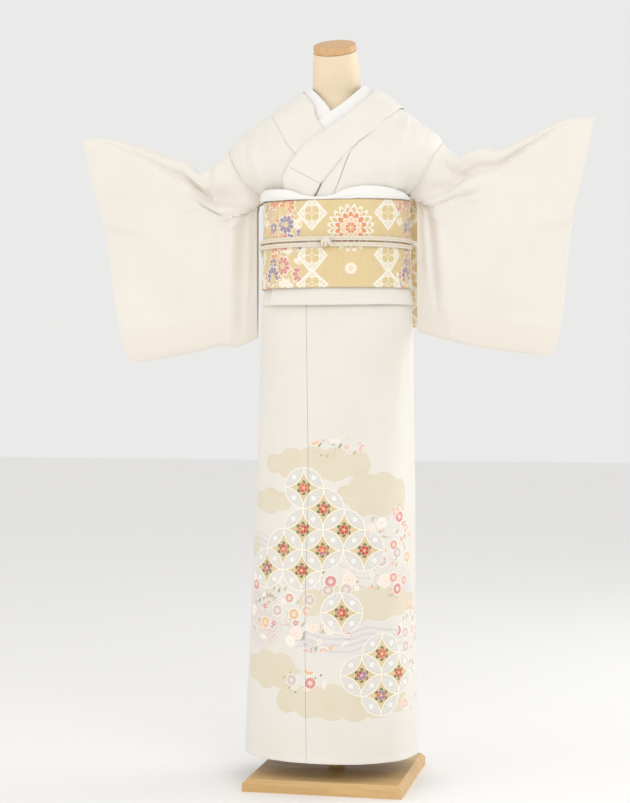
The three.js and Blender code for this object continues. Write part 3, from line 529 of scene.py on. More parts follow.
@dataclass(frozen=True)
class Crepe:
    """Silk crepe: a fine pebbled face, with a soft sheen."""

    name: str
    colour: Colour
    shade: Colour
    grain: float = 1500.0
    relief: float = 0.00012
    roughness: float = 0.62

    def nodes(self) -> Nodes:
        """Make the plain finish."""
        nodes = Nodes(self.name)
        face = nodes.clouded(self.colour, self.shade)
        # The shade darkens random patches, and is the painted shade in the hollows between the pebbles.
        nodes.crepe(face, self.shade, self.grain, self.relief, self.roughness)
        return nodes


@dataclass(frozen=True)
class Spot:
    """A round or oval place on the flat cloth: its middle, across and up, and its half sizes."""

    across: float
    up: float
    wide: float
    high: float


class PatternNodes(Nodes):
    """The nodes of a patterned cloth, whose motifs are laid one over another on a base colour."""

    def __init__(self, name: str, base: Any) -> None:
        """Start with a base colour and the place on the flat cloth."""
        super().__init__(name)
        self.x, self.y = self.cloth()
        self.colour: Any = base

    def lay(self, mask: Value, colour: Any) -> None:
        """Lay a colour over the pattern where mask is 1."""
        self.colour = self.mix(mask, self.colour, colour)

    def length(self, x: Value, y: Value) -> Wire:
        """How long the vector of x and y is."""
        return self.vector("LENGTH", self.join(x, y), out="Value")

    def from_spot(self, spot: Spot) -> Wire:
        """How far each point is from a place's middle: 0 there and 1 on its edge."""
        return self.length((self.x - spot.across) / spot.wide, (self.y - spot.up) / spot.high)

    def spots(self, spots: Sequence[Spot], soft: float = 0.06) -> Wire:
        """1 inside any of the places and 0 outside, over soft edges."""
        masks = [self.from_spot(spot).below(1, soft) for spot in spots]
        total = masks[0]
        for mask in masks[1:]:
            total = total.most(mask)
        return total

    def net(self, rising: Wire, falling: Wire, level: float, half: float, soft: float) -> Wire:
        """1 near a level of either of two shares, which makes a slanting lattice."""
        return rising.near(level, half, soft).most(falling.near(level, half, soft))

    def scattered(self, pitch: float, shift: float) -> tuple[Wire, Wire, Wire, Wire]:
        """Many places scattered over the cloth.

        Args:
            pitch: How far apart they are.
            shift: Moves the whole pattern, so that two scatters differ.

        Returns:
            How far across, up and in all each point is from the nearest place, and that place's own share.
        """
        place = self.join(self.x / pitch + shift, self.y / pitch + shift * 0.7)
        settings = {"voronoi_dimensions": "2D", "feature": "F1"}
        inputs = {"Vector": place, "Scale": 1.0, "Randomness": 0.75}
        nearest = self.node("ShaderNodeTexVoronoi", settings, inputs, "Position")
        own, _, _ = self.split(Wire(self, nearest.socket.node.outputs["Color"]))
        across, up, _ = self.split(self.vector("SUBTRACT", place, nearest))
        across, up = across * pitch, up * pitch
        return across, up, self.length(across, up), own

    def petals(self, across: Wire, up: Wire, count: int) -> Wire:
        """1 along the middle of each of a flower's petals and 0 between them."""
        angle = self.maths("ARCTAN2", up, across)
        return abs((angle * (count / 2)).sine())

    def flower(self, across: Wire, up: Wire, far: Wire, radius: Value, count: int, inside: Value,
               colours: tuple[Any, Any, Any]) -> None:
        """Lay flowers with pale edges and a gold heart.

        Args:
            across: How far across each point is from its flower's middle.
            up: How far up it is.
            far: How far it is in all.
            radius: The flower's radius.
            count: How many petals it has.
            inside: 1 where flowers grow.
            colours: The petals' inner and outer colour, and the outline's.
        """
        petal = self.petals(across, up, count)
        share = far / radius
        body = (share - petal * 0.24).below(0.76, 0.06) * inside
        inner, outer, line = colours
        self.lay(body, line)
        face = (share - petal * 0.22).below(0.66, 0.05) * inside * petal.above(0.16, 0.2)
        self.lay(face, self.mix(share, inner, outer))
        self.lay(share.below(0.2, 0.06) * inside, FLOWER_HEART)
        self.lay(share.near(0.25, 0.025, 0.03) * inside, line)

    def ramp(self, share: Wire, colours: Sequence[Colour]) -> Wire:
        """A colour picked from a list by a share from 0 to 1."""
        stops = [(i / len(colours), c) for i, c in enumerate(colours)]
        made = self.node("ShaderNodeValToRGB", {"stops": stops}, {0: share})
        made.socket.node.color_ramp.interpolation = "CONSTANT"
        return made


@dataclass(frozen=True)
class Scatter:
    """Flowers scattered over the cloth.

    Attributes:
        pitch: How far apart their places are.
        shift: Moves the scatter, so that two differ.
        radius: Their radius.
        count: How many petals they have.
        amount: The share of the places that has one.
    """

    pitch: float
    shift: float
    radius: float
    count: int
    amount: float


@dataclass(frozen=True)
class SkirtPattern:
    """Ivory crepe with a dyed and embroidered pattern over the lower skirt.

    The layout repeats round the skirt and lies lower at the back. Places are from the middle of the front
    and from the floor.
    """

    name: str = "Patterned crepe"
    pitch: float = 40.0
    level: float = 548.0
    repeat: float = 480.0
    back_drop: float = 70.0
    lowest: float = 128.0
    highest: float = 686.0
    wave_wide: float = 24.0
    wave_high: float = 9.0
    ring_radius: float = 40.0
    ring_rim: float = 38.3
    ring_places: Rows = (
        (-40, 588), (0, 548), (-40, 508), (40, 508), (0, 468), (80, 468), (-80, 468), (-40, 428),
        (-120, 428), (40, 348), (120, 268), (80, 228), (160, 228), (120, 188),
    )
    clouds: tuple[Spot, ...] = (
        Spot(-14, 634, 112, 32), Spot(100, 576, 70, 42), Spot(-116, 560, 50, 24), Spot(76, 366, 132, 34),
        Spot(-104, 232, 66, 36), Spot(48, 176, 142, 34), Spot(-190, 470, 50, 20),
    )
    gardens: tuple[Spot, ...] = (
        Spot(20, 666, 60, 20), Spot(140, 470, 66, 100), Spot(-100, 360, 96, 80), Spot(40, 412, 90, 34),
        Spot(-20, 300, 90, 32), Spot(200, 290, 50, 80), Spot(-30, 212, 50, 26), Spot(196, 176, 40, 26),
    )
    streams: tuple[Spot, ...] = (Spot(60, 296, 120, 32), Spot(-150, 470, 46, 26))
    waves: tuple[Spot, ...] = (Spot(-128, 330, 48, 62), Spot(168, 392, 36, 42))
    scatters: tuple[Scatter, ...] = (Scatter(24.0, 1.3, 7.0, 5, 0.4), Scatter(34.0, 5.9, 13.0, 14, 0.7))
    # The painted shade in the hollows between the crepe's pebbles.
    hollow: Colour = (0.55, 0.50, 0.45)
    stream: Colour = (0.72, 0.70, 0.71)
    stream_line: Colour = (0.52, 0.46, 0.56)
    wave: Colour = (0.78, 0.72, 0.68)
    wave_lines: tuple[Colour, ...] = ((0.72, 0.36, 0.36), (0.58, 0.50, 0.62), (0.70, 0.56, 0.36))
    cloud_edge: Colour = (0.66, 0.55, 0.34)
    stem: Colour = (0.46, 0.34, 0.22)
    leaves: tuple[Colour, ...] = ((0.24, 0.30, 0.14), (0.50, 0.48, 0.24), (0.34, 0.40, 0.26))
    lens: tuple[Colour, Colour] = ((0.64, 0.62, 0.575), (0.83, 0.81, 0.77))
    diamond: tuple[Colour, Colour] = ((0.62, 0.46, 0.20), (0.74, 0.60, 0.34))
    net_thread: Colour = (0.80, 0.74, 0.58)
    stitch: Colour = (0.93, 0.91, 0.87)
    ring_leaf: Colour = (0.13, 0.18, 0.07)
    ring_line: Colour = (0.80, 0.52, 0.30)
    small_petal: Colour = (0.93, 0.92, 0.90)
    small_line: Colour = (0.88, 0.87, 0.84)
    petal_tip: Colour = (0.93, 0.88, 0.82)
    petal_line: Colour = (0.94, 0.90, 0.84)

    def nodes(self) -> Nodes:
        """Make the finish."""
        nodes = PatternNodes(self.name, IVORY)
        nodes.colour = nodes.clouded(IVORY, IVORY_SHADE)
        level = nodes.y
        nodes.y = nodes.y + abs(nodes.x).above(self.repeat / 2, 0.5) * self.back_drop
        nodes.x = (nodes.x + self.repeat / 2) % self.repeat - self.repeat / 2
        wander = nodes.noise(nodes.join(nodes.x / 60, nodes.y / 60), 1.0, 2.0) - 0.5
        shown = level.above(self.lowest, 8) * level.below(self.highest, 30)
        self.water(nodes, shown)
        self.cloud_bands(nodes, wander, shown)
        garden = nodes.spots(self.gardens, 0.5)
        sparse = (garden + wander * 1.2).above(0.7, 0.1) * shown
        self.tendrils(nodes, sparse)
        self.ring_lattice(nodes, shown)
        self.flowers(nodes, sparse, nodes.spots(self.rings(self.ring_radius)))
        nodes.crepe(nodes.colour, self.hollow)
        return nodes

    def rings(self, radius: float) -> list[Spot]:
        """The rings, drawn with a radius."""
        return [Spot(across, up, radius, radius) for across, up in self.ring_places]

    def water(self, nodes: PatternNodes, shown: Wire) -> None:
        """Lay bands of flowing water and of wave arcs where the pattern is shown."""
        swing = (nodes.x / 21).sine() * 5 + (nodes.x / 9 + 1.2).sine() * 1.5
        lines = ((nodes.y + swing) / 1.9).sine().above(0.35, 0.4)
        band = nodes.spots(self.streams, 0.2) * shown
        nodes.lay(band * 0.35, self.stream)
        nodes.lay(band * lines * 0.3, self.stream_line)
        row = (nodes.y / self.wave_high - 0.5) % 2
        offset = row.above(1, 0.01) * (self.wave_wide / 2)
        cell = (nodes.x + offset) % self.wave_wide - self.wave_wide / 2
        rise = nodes.y % self.wave_high
        arc = (nodes.length(cell, rise) / 1.3).sine().above(0.1, 0.5)
        beds = nodes.spots(self.waves, 0.25) * shown
        nodes.lay(beds * 0.3, self.wave)
        tint = nodes.ramp((nodes.x + nodes.y) / 90 % 1, self.wave_lines)
        nodes.lay(beds * arc * 0.38, tint)

    def cloud_bands(self, nodes: PatternNodes, wander: Wire, shown: Wire) -> None:
        """Lay tan clouds, with scalloped edges that wander and a thin darker outline."""
        scallop = abs((nodes.x / 15).sine()) * 0.2 + wander * 0.16
        nearest = nodes.from_spot(self.clouds[0])
        for spot in self.clouds[1:]:
            nearest = nearest.least(nodes.from_spot(spot))
        edge = nearest - scallop
        speck = nodes.noise(nodes.join(nodes.x, nodes.y), 0.35, 3.0)
        body = edge.below(0.86, 0.05) * shown * (wander * 0.8 + 0.86)
        nodes.lay(body, nodes.mix(speck, CLOUD_TAN, PALE_GOLD))
        nodes.lay(edge.near(0.84, 0.01, 0.03) * shown * 0.5, self.cloud_edge)

    def tendrils(self, nodes: PatternNodes, sparse: Wire) -> None:
        """Lay thin curling stems and small leaves where the flowers are sparse."""
        drift = nodes.noise(nodes.join(nodes.x / 34, nodes.y / 34, 4.0), 1.0, 1.0)
        nodes.lay(drift.near(0.5, 0.004, 0.008) * sparse * 0.7, self.stem)
        across, up, far, own = nodes.scattered(13.0, 3.7)
        slant = across * 0.5 + up * 0.87
        aside = across * 0.87 - up * 0.5
        leaf = (nodes.length(slant / 5.6, aside / 2.1)).below(1, 0.2) * own.below(0.2, 0.02) * sparse
        nodes.lay(leaf, nodes.ramp(own / 0.2, self.leaves))
        nodes.lay(leaf * aside.near(0, 0.25, 0.3), PALE_GOLD)

    def ring_lattice(self, nodes: PatternNodes, shown: Wire) -> None:
        """Lay the interlaced rings with their lens shapes, and the gold diamonds between them."""
        inside = nodes.spots(self.rings(self.ring_radius), 0.03) * shown
        lane, level = nodes.x / self.pitch, (nodes.y - self.level) / self.pitch
        u, v = abs((lane + level) % 2 - 1), abs((lane - level) % 2 - 1)
        # In the turned frame a ring's middle is at u = v = 1 and a lens crosses at u = 0 or v = 0.
        a, b = 1 - u, 1 - v
        along, over = (a + b) / 2, (a - b) / 2
        next_ring = nodes.length(along - 1, over - 1).least(nodes.length(along - 1, over + 1))
        lens = next_ring.below(1, 0.03)
        sprig = nodes.noise(nodes.join(nodes.x, nodes.y), 0.55, 3.0).above(0.5, 0.2)
        ground = nodes.noise(nodes.join(nodes.x, nodes.y, 9.0), 0.012, 0.0)
        net = nodes.net((nodes.x + nodes.y) / 3 % 1, (nodes.x - nodes.y) / 3 % 1, 0.5, 0.1, 0.1)
        diamond = nodes.mix(net * 0.5, nodes.mix(ground, *self.diamond), self.net_thread)
        nodes.lay(inside, nodes.mix(lens, diamond, nodes.mix(sprig, *self.lens)))
        nodes.lay(inside * next_ring.near(1, 0.045, 0.02), GOLD)
        nodes.lay(inside * next_ring.near(1, 0.028, 0.02), self.stitch)
        within = nodes.spots(self.rings(self.ring_rim), 0.02)
        nodes.lay(inside * (1 - within), self.stitch)
        self.ring_flowers(nodes, inside, lens)

    def ring_flowers(self, nodes: PatternNodes, inside: Wire, lens: Wire) -> None:
        """Lay a flower with its leaves in each diamond, and a small pale flower in each lens."""
        x = (nodes.x / self.pitch + 1) % 2 - 1
        y = ((nodes.y - self.level) / self.pitch + 1) % 2 - 1
        shifted_x, shifted_y = (x + 2) % 2 - 1, (y + 2) % 2 - 1
        nearer = nodes.length(shifted_x, shifted_y).above(nodes.length(x, y), 0.001)
        flower_x = nearer * (x - shifted_x) + shifted_x
        flower_y = nearer * (y - shifted_y) + shifted_y
        far = nodes.length(flower_x, flower_y)
        drift = nodes.noise(nodes.join(nodes.x, nodes.y, 2.0), 0.016, 0.0)
        hue = nodes.ramp(drift * 2 - 0.5, RING_PETALS)
        grown = inside * (1 - lens)
        leaves = (far - nodes.petals(flower_x, flower_y, 6) * 0.16).below(0.2, 0.03) * grown
        nodes.lay(leaves, self.ring_leaf)
        nodes.flower(flower_x, flower_y, far, 0.27, 5, grown, (hue, hue, self.ring_line))
        small_x, small_y = x % 1 - 0.5, y % 1 - 0.5
        nodes.flower(small_x, small_y, nodes.length(small_x, small_y), 0.12, 5, inside * lens,
                     (self.small_petal, self.small_petal, self.small_line))

    def flowers(self, nodes: PatternNodes, sparse: Wire, rings: Wire) -> None:
        """Lay many-petalled flowers and plum blossoms of mixed colours, few of them inside the rings."""
        bare = (1 - rings * 0.85) * sparse
        for scatter in self.scatters:
            across, up, far, own = nodes.scattered(scatter.pitch, scatter.shift)
            grown = own.below(scatter.amount, 0.01) * bare
            hue = nodes.ramp(own / scatter.amount, PETAL_COLOURS)
            outer = nodes.mix(0.35, hue, self.petal_tip)
            size = own * (scatter.radius * 0.5) + scatter.radius * 0.75
            nodes.flower(across, up, far, size, scatter.count, grown, (outer, hue, self.petal_line))
            if scatter.count > 10:
                ring = (far / 1.6).sine().above(0.2, 0.6) * far.below(scatter.radius, 1)
                nodes.lay(ring * grown * 0.3, self.petal_line)


@dataclass(frozen=True)
class SleeveCrepe:
    """Fine ivory crepe, with a painted shade in a band along the cuff and in a band along the bottom."""

    name: str = "Sleeve crepe"
    cuff: float = 258.0
    cuff_end: float = -232.0
    bottom_shade_level: float = -344.0
    # The painted shade of the band along the cuff, and of the band along the bottom.
    cuff_painted_shade: Colour = (0.785, 0.75, 0.685)
    bottom_painted_shade: Colour = (0.80, 0.74, 0.655)

    def nodes(self) -> Nodes:
        """Make the finish."""
        nodes = PatternNodes(self.name, SLEEVE_IVORY)
        nodes.colour = nodes.clouded(SLEEVE_IVORY, SLEEVE_SHADE)
        # Painted shade: a darker band along the cuff down to the slit's end, and a darker band along the
        # bottom.
        cuff_shade_mask = nodes.x.above(self.cuff, 5) * nodes.y.above(self.cuff_end, 8)
        nodes.lay(cuff_shade_mask * 0.4, self.cuff_painted_shade)
        nodes.lay(nodes.y.below(self.bottom_shade_level, 7) * 0.45, self.bottom_painted_shade)
        nodes.crepe(nodes.colour, SLEEVE_SHADE)
        return nodes


@dataclass(frozen=True)
class ObiBrocade:
    """Gold brocade with woven lozenges, round flowers and flower clusters on a fine twill.

    Attributes:
        repeat: Half the way from one round flower to the next.
        middle: How far across the first of them lies.
        lozenge_across: How far a lozenge's middle lies from a round flower's.
        lozenge_rows: The height of each row of lozenges, and half a lozenge's width and height.
        flower_rings: The height, radius, petals and colour of each ring of petals of the round flowers.
    """

    name: str = "Gold brocade"
    ground: Colour = (0.80, 0.65, 0.37)
    ground_shade: Colour = (0.70, 0.53, 0.26)
    repeat: float = 150.0
    middle: float = 51.0
    lozenge_across: float = 76.0
    lozenge_rows: Rows = ((62, 31, 38), (143, 31, 34), (6, 33, 30))
    scatters: tuple[Scatter, ...] = (Scatter(26.0, 2.2, 12.5, 6, 0.75), Scatter(44.0, 9.4, 21.0, 9, 0.75))
    flower_rings: tuple[tuple[float, float, int, Colour], ...] = (
        (114, 46.0, 20, (0.70, 0.50, 0.24)), (114, 35.0, 14, (0.74, 0.26, 0.09)),
        (114, 22.0, 10, (0.84, 0.62, 0.36)), (114, 12.5, 8, (0.72, 0.22, 0.08)),
        (36, 12.0, 12, (0.90, 0.84, 0.72)), (36, 6.0, 8, (0.84, 0.66, 0.34)),
    )
    key_thread: Colour = (0.86, 0.76, 0.52)
    warp_thread: Colour = (0.45, 0.34, 0.20)
    leaves: tuple[Colour, ...] = ((0.52, 0.56, 0.34), (0.76, 0.70, 0.44))
    petal_tip: Colour = (0.94, 0.88, 0.78)
    petal_line: Colour = (0.94, 0.90, 0.80)
    lozenge: Colour = (0.82, 0.73, 0.52)
    lattice_thread: Colour = (0.92, 0.89, 0.82)
    lozenge_edge: Colour = (0.95, 0.93, 0.88)
    lozenge_flower: tuple[Colour, ...] = ((0.70, 0.55, 0.27), (0.78, 0.64, 0.36), (0.93, 0.90, 0.82))
    ring_tip: Colour = (0.94, 0.88, 0.76)
    ring_line: Colour = (0.92, 0.88, 0.78)

    def nodes(self) -> Nodes:
        """Make the finish."""
        nodes = PatternNodes(self.name, self.ground)
        x, y = nodes.x, nodes.y
        twill = ((x + y) * 2.4).sine() * 0.5 + 0.5
        warp = (x * 7.5).sine() * 0.5 + 0.5
        cloud = nodes.noise(nodes.join(x, y), 0.05, 3.0)
        nodes.colour = nodes.mix(cloud * 0.7 + twill * 0.3, self.ground, self.ground_shade)
        key = nodes.length(((x / 6) % 2) - 1, ((y / 6) % 2) - 1).near(0.62, 0.12, 0.15)
        nodes.lay(key * 0.2, self.key_thread)
        nodes.x = (x - self.middle + self.repeat) % (2 * self.repeat) - self.repeat
        self.clusters(nodes)
        self.lozenges(nodes)
        self.round_flowers(nodes)
        shine = nodes.noise(nodes.place(), 900.0, 2.0)
        nodes.set("Base Color", nodes.mix(warp * 0.12, nodes.colour, self.warp_thread))
        nodes.set("Roughness", 0.44 + shine * 0.16)
        nodes.set("Metallic", nodes.noise(nodes.join(x, y, 3.0), 0.6, 2.0) * 0.18)
        nodes.set("Sheen Weight", 0.2)
        nodes.set("Sheen Roughness", 0.35)
        nodes.bump(twill * 0.5 + warp * 0.3 + key * 0.2, 0.00018)
        return nodes

    def clusters(self, nodes: PatternNodes) -> None:
        """Lay clusters of pink, purple, orange and cream flowers between the round flowers."""
        side = abs(nodes.x).above(98, 6)
        beds = nodes.noise(nodes.join(nodes.x / 26, nodes.y / 26, 5.0), 1.0, 1.0).above(0.43, 0.05) * side
        across, up, far, own = nodes.scattered(9.0, 6.2)
        leaf = nodes.length((across * 0.6 + up * 0.8) / 3.6, (across * 0.8 - up * 0.6) / 1.5).below(1, 0.2)
        nodes.lay(leaf * own.below(0.6, 0.02) * beds, nodes.ramp(own / 0.6, self.leaves))
        for scatter in self.scatters:
            across, up, far, own = nodes.scattered(scatter.pitch, scatter.shift)
            hue = nodes.ramp(own / scatter.amount, BROCADE_PETALS)
            pale = nodes.mix(0.25, hue, self.petal_tip)
            grown = own.below(scatter.amount, 0.01) * beds
            colours = (hue, pale, self.petal_line)
            nodes.flower(across, up, far, scatter.radius, scatter.count, grown, colours)

    def lozenges(self, nodes: PatternNodes) -> None:
        """Lay lozenges with a fine lattice and a four-petalled flower in each."""
        x = abs(nodes.x) % self.repeat - self.lozenge_across
        for up, half_wide, half_high in self.lozenge_rows:
            y = nodes.y - up
            far = abs(x) / half_wide + abs(y) / half_high
            inside = far.below(1, 0.03)
            slant = y * (half_wide / half_high)
            rising, falling = (x + slant) / 12.4 % 1, (x - slant) / 12.4 % 1
            lattice = nodes.net(rising, falling, 0.5, 0.11, 0.08)
            cross = nodes.net(rising, falling, 0, 0.06, 0.05) * 0.35
            nodes.lay(inside, self.lozenge)
            nodes.lay(inside * lattice.most(cross), self.lattice_thread)
            nodes.lay(far.near(0.96, 0.035, 0.03), self.lozenge_edge)
            nodes.lay(far.near(0.86, 0.02, 0.03), self.lozenge_edge)
            nodes.flower(x, y, nodes.length(x, y), 19.0, 4, inside, self.lozenge_flower)

    def round_flowers(self, nodes: PatternNodes) -> None:
        """Lay large round flowers with rings of petals, and a small one below each."""
        for up, radius, count, hue in self.flower_rings:
            y = nodes.y - up
            pale = nodes.mix(0.3, hue, self.ring_tip)
            far = nodes.length(nodes.x, y)
            nodes.flower(nodes.x, y, far, radius, count, 1.0, (pale, hue, self.ring_line))


@dataclass(frozen=True)
class Braid:
    """A flat silk braid: slanting strands either side of a line of gold stitches."""

    name: str = "Cord braid"
    girth: float = 23.5
    silk: Colour = (0.90, 0.86, 0.78)
    # shade is the painted shade in the grooves between the strands, and the fibres' darker tone.
    shade: Colour = (0.72, 0.64, 0.52)

    def nodes(self) -> Nodes:
        """Make the finish."""
        nodes = PatternNodes(self.name, self.silk)
        side = (nodes.x / self.girth * 2) % 1
        slant = (nodes.y / 3.4 + abs(side - 0.5) * 3) % 1
        groove = abs(slant - 0.5).above(0.36, 0.2)
        fibre = nodes.noise(nodes.place(), 2400.0, 2.0)
        # Painted shade: the grooves between the strands are darkened towards the shade colour; the fibres
        # vary the tone at random.
        nodes.colour = nodes.mix(groove * 0.7 + fibre * 0.15, self.silk, self.shade)
        dots = side.near(0.5, 0.10, 0.05) * ((nodes.y / 4.6) % 1).near(0.5, 0.28, 0.1)
        nodes.lay(dots, (0.76, 0.56, 0.22))
        nodes.set("Base Color", nodes.colour)
        nodes.set("Roughness", 0.5 + groove * 0.2)
        nodes.set("Metallic", dots * 0.4)
        nodes.set("Sheen Weight", 0.25)
        nodes.bump((1 - groove) * 0.7 + dots * 0.3, 0.0007)
        return nodes


@dataclass(frozen=True)
class Wood:
    """Light oak with a straight grain and fine pores."""

    name: str
    light: Colour
    dark: Colour
    along: tuple[float, float, float]

    def nodes(self) -> Nodes:
        """Make the finish, with its grain drawn out along one way."""
        nodes = Nodes(self.name)
        place = nodes.place()
        drawn = nodes.vector("MULTIPLY", place, self.along)
        wide = nodes.noise(drawn, 26.0, 4.0, 0.55)
        rings = (wide * 34.0).sine() * 0.5 + 0.5
        pores = nodes.noise(drawn, 520.0, 2.0, 0.7)
        grain = rings * 0.45 + pores * 0.55
        nodes.set("Base Color", nodes.mix(grain, self.dark, self.light))
        nodes.set("Roughness", 0.42 + (1 - pores) * 0.2)
        nodes.set("Coat Weight", 0.12)
        nodes.bump(grain, 0.00012)
        return nodes


@dataclass(frozen=True)
class Jersey:
    """The form's stretched knitted cover."""

    name: str
    colour: Colour

    def nodes(self) -> Nodes:
        """Make the finish: fine upright ribs over a smooth core."""
        nodes = Nodes(self.name)
        place = nodes.place()
        x, y, z = nodes.split(place)
        rib = (x * 5200.0).sine() * 0.5 + 0.5
        course = (z * 4600.0).sine() * 0.5 + 0.5
        cloud = nodes.noise(place, 12.0, 2.0)
        shade = tuple(c * 0.93 for c in self.colour)
        nodes.set("Base Color", nodes.mix(cloud * 0.6 + rib * 0.2, self.colour, shade))
        nodes.set("Roughness", 0.58)
        nodes.set("Sheen Weight", 0.15)
        nodes.bump(rib * 0.5 + course * 0.5, 0.00008)
        return nodes


# ---- meshes


@dataclass
class Shell:
    """A thin wall of cloth round a grid of points.

    Attributes:
        name: The piece's name.
        grid: The points of its middle surface, rows by columns, in millimetres.
        thickness: The wall's thickness, one number or one for each point.
        uv: The place of each point on the flat cloth, in millimetres.
        ring: Whether each row closes on itself. uv then has one more column.
        centre: A point inside, which tells the outer face from the inner one; None takes the body's axis.
        drape: How far the folds move each point outwards.
    """

    name: str
    grid: Array
    thickness: Any
    uv: Array
    ring: bool = False
    centre: Optional[tuple[float, float, float]] = None
    drape: Any = 0.0

    def normals(self, grid: Array) -> Array:
        """The outward normal at each point of a grid."""
        down = np.gradient(grid, axis=0)
        if self.ring:
            across = np.roll(grid, -1, axis=1) - np.roll(grid, 1, axis=1)
        else:
            across = np.gradient(grid, axis=1)
        normal = np.cross(across, down)
        normal /= np.maximum(np.linalg.norm(normal, axis=-1, keepdims=True), 1e-9)
        inside = grid * (0, 0, 1) if self.centre is None else np.asarray(self.centre, float)
        if np.sum(normal * (grid - inside)) < 0:
            normal = -normal
        return normal

    def build(self, outer: Material, inner: Optional[Material] = None) -> bpy.types.Object:
        """Make the piece.

        Args:
            outer: The finish of its outer face and its rim.
            inner: The finish of its inner face, if that differs.

        Returns:
            The new object, which rides on the root body.
        """
        drape = np.broadcast_to(np.asarray(self.drape, float), self.grid.shape[:2])
        grid = self.grid + self.normals(self.grid) * drape[..., None]
        half = np.broadcast_to(np.asarray(self.thickness, float) / 2, self.grid.shape[:2])
        normal = self.normals(grid) * half[..., None]
        rows, columns = grid.shape[:2]
        count = rows * columns
        points = np.concatenate([(grid + normal).reshape(-1, 3), (grid - normal).reshape(-1, 3)])
        wide = columns if self.ring else columns - 1
        faces: list[tuple[int, ...]] = []
        places: list[tuple[tuple[int, int], ...]] = []
        sides: list[int] = []

        def add(corners: Sequence[tuple[int, int, int]], side: int) -> None:
            """Add a face from the row, column and layer of each corner."""
            faces.append(tuple(layer * count + i * columns + j % columns for i, j, layer in corners))
            places.append(tuple((i, j) for i, j, _ in corners))
            sides.append(side)

        for i in range(rows - 1):
            for j in range(wide):
                around = ((i, j), (i, j + 1), (i + 1, j + 1), (i + 1, j))
                add([(a, b, 0) for a, b in around], 0)
                add([(a, b, 1) for a, b in reversed(around)], 1)
        for j in range(wide):
            add([(0, j + 1, 0), (0, j, 0), (0, j, 1), (0, j + 1, 1)], 0)
            last = rows - 1
            add([(last, j, 0), (last, j + 1, 0), (last, j + 1, 1), (last, j, 1)], 0)
        if not self.ring:
            for i in range(rows - 1):
                add([(i, 0, 0), (i + 1, 0, 0), (i + 1, 0, 1), (i, 0, 1)], 0)
                last = columns - 1
                add([(i + 1, last, 0), (i, last, 0), (i, last, 1), (i + 1, last, 1)], 0)
        materials = [outer] + ([inner] if inner else [])
        uv = [[self.uv[i, j] for i, j in corners] for corners in places]
        return make_object(self.name, points, faces, uv, sides, materials)


def make_object(
    name: str,
    points: Array,
    faces: Sequence[Sequence[int]],
    uv: Sequence[Sequence[Array]],
    sides: Sequence[int],
    materials: Sequence[Material],
) -> bpy.types.Object:
    """Make a closed mesh object that rides on the root body.

    Args:
        name: Its name.
        points: Its points, in millimetres.
        faces: The points of each face.
        uv: The place on the flat cloth of each corner of each face, in millimetres.
        sides: 1 for a face that takes the second material.
        materials: The materials.

    Returns:
        The new object.
    """
    mesh = bpy.data.meshes.new(name)
    mesh.from_pydata((np.asarray(points) * MM).tolist(), [], [list(f) for f in faces])
    layer = mesh.uv_layers.new(name="Cloth")
    flat = np.array([corner for face in uv for corner in face], dtype=np.float32) * MM
    layer.data.foreach_set("uv", flat.reshape(-1))
    for material in materials:
        mesh.materials.append(material)
    if len(materials) > 1:
        mesh.polygons.foreach_set("material_index", np.asarray(sides, dtype=np.int32))
    corners = np.asarray(points)[np.array([(f[0], f[1], f[2]) for f in faces])]
    volume = float(np.sum(corners[:, 0] * np.cross(corners[:, 1], corners[:, 2])))
    if volume < 0:
        mesh.flip_normals()
    mesh.polygons.foreach_set("use_smooth", np.ones(len(faces), dtype=bool))
    mesh.set_sharp_from_angle(angle=math.radians(SHARP_DEGREES))
    mesh.update()
    made = bpy.data.objects.new(name, mesh)
    bpy.context.collection.objects.link(made)
    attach(made, "root")
    log.info("%s: %d faces", name, len(faces))
    return made


def solid(name: str, rings: Array, material: Material, closed: bool = False) -> bpy.types.Object:
    """Make a solid through rings of points, with its ends filled, or closed on itself.

    Args:
        name: The piece's name.
        rings: Rings by points, in millimetres.
        material: Its finish.
        closed: Whether the last ring joins the first.

    Returns:
        The new object.
    """
    count, columns = rings.shape[:2]
    around = arc_lengths(np.concatenate([rings, rings[:, :1]], axis=1), 1)
    along = arc_lengths(np.concatenate([rings, rings[:1]], axis=0), 0)[:, :1]
    faces, uv = [], []
    for i in range(count if closed else count - 1):
        for j in range(columns):
            corners = ((i, j), (i, j + 1), (i + 1, j + 1), (i + 1, j))
            faces.append([(a % count) * columns + b % columns for a, b in corners])
            uv.append([(around[a % count, b], along[a, 0]) for a, b in corners])
    if not closed:
        faces.append(list(range(columns))[::-1])
        uv.append([tuple(rings[0, j, :2]) for j in range(columns)][::-1])
        faces.append([(count - 1) * columns + j for j in range(columns)])
        uv.append([tuple(rings[-1, j, :2]) for j in range(columns)])
    return make_object(name, rings.reshape(-1, 3), faces, uv, [0] * len(faces), [material])


def grid_uv(grid: Array) -> Array:
    """The place of each point of a grid on the flat cloth, from its lengths across and down."""
    across = arc_lengths(grid, 1)
    down = arc_lengths(grid, 0)
    return np.stack([across - across[:, -1:] / 2, -down], axis=-1)


# ---- layers and lines of the cloth

# How far each layer stands out from the innermost surface.
SKIRT_UNDER = 1.0
SKIRT_OVER = 4.2
BODICE = 8.0
UNDER_COLLAR = 11.6
OVERLAP = 15.0
OVER_COLLAR = 19.6
# The waist fold's lowest level and its depth, the cloth's thickness, and the gap of a seam.
FOLD_LEVEL = 941.0
FOLD_DEPTH = 3.6
CLOTH = 1.5
SEAM = 0.36
SEAM_DEGREES = 0.12

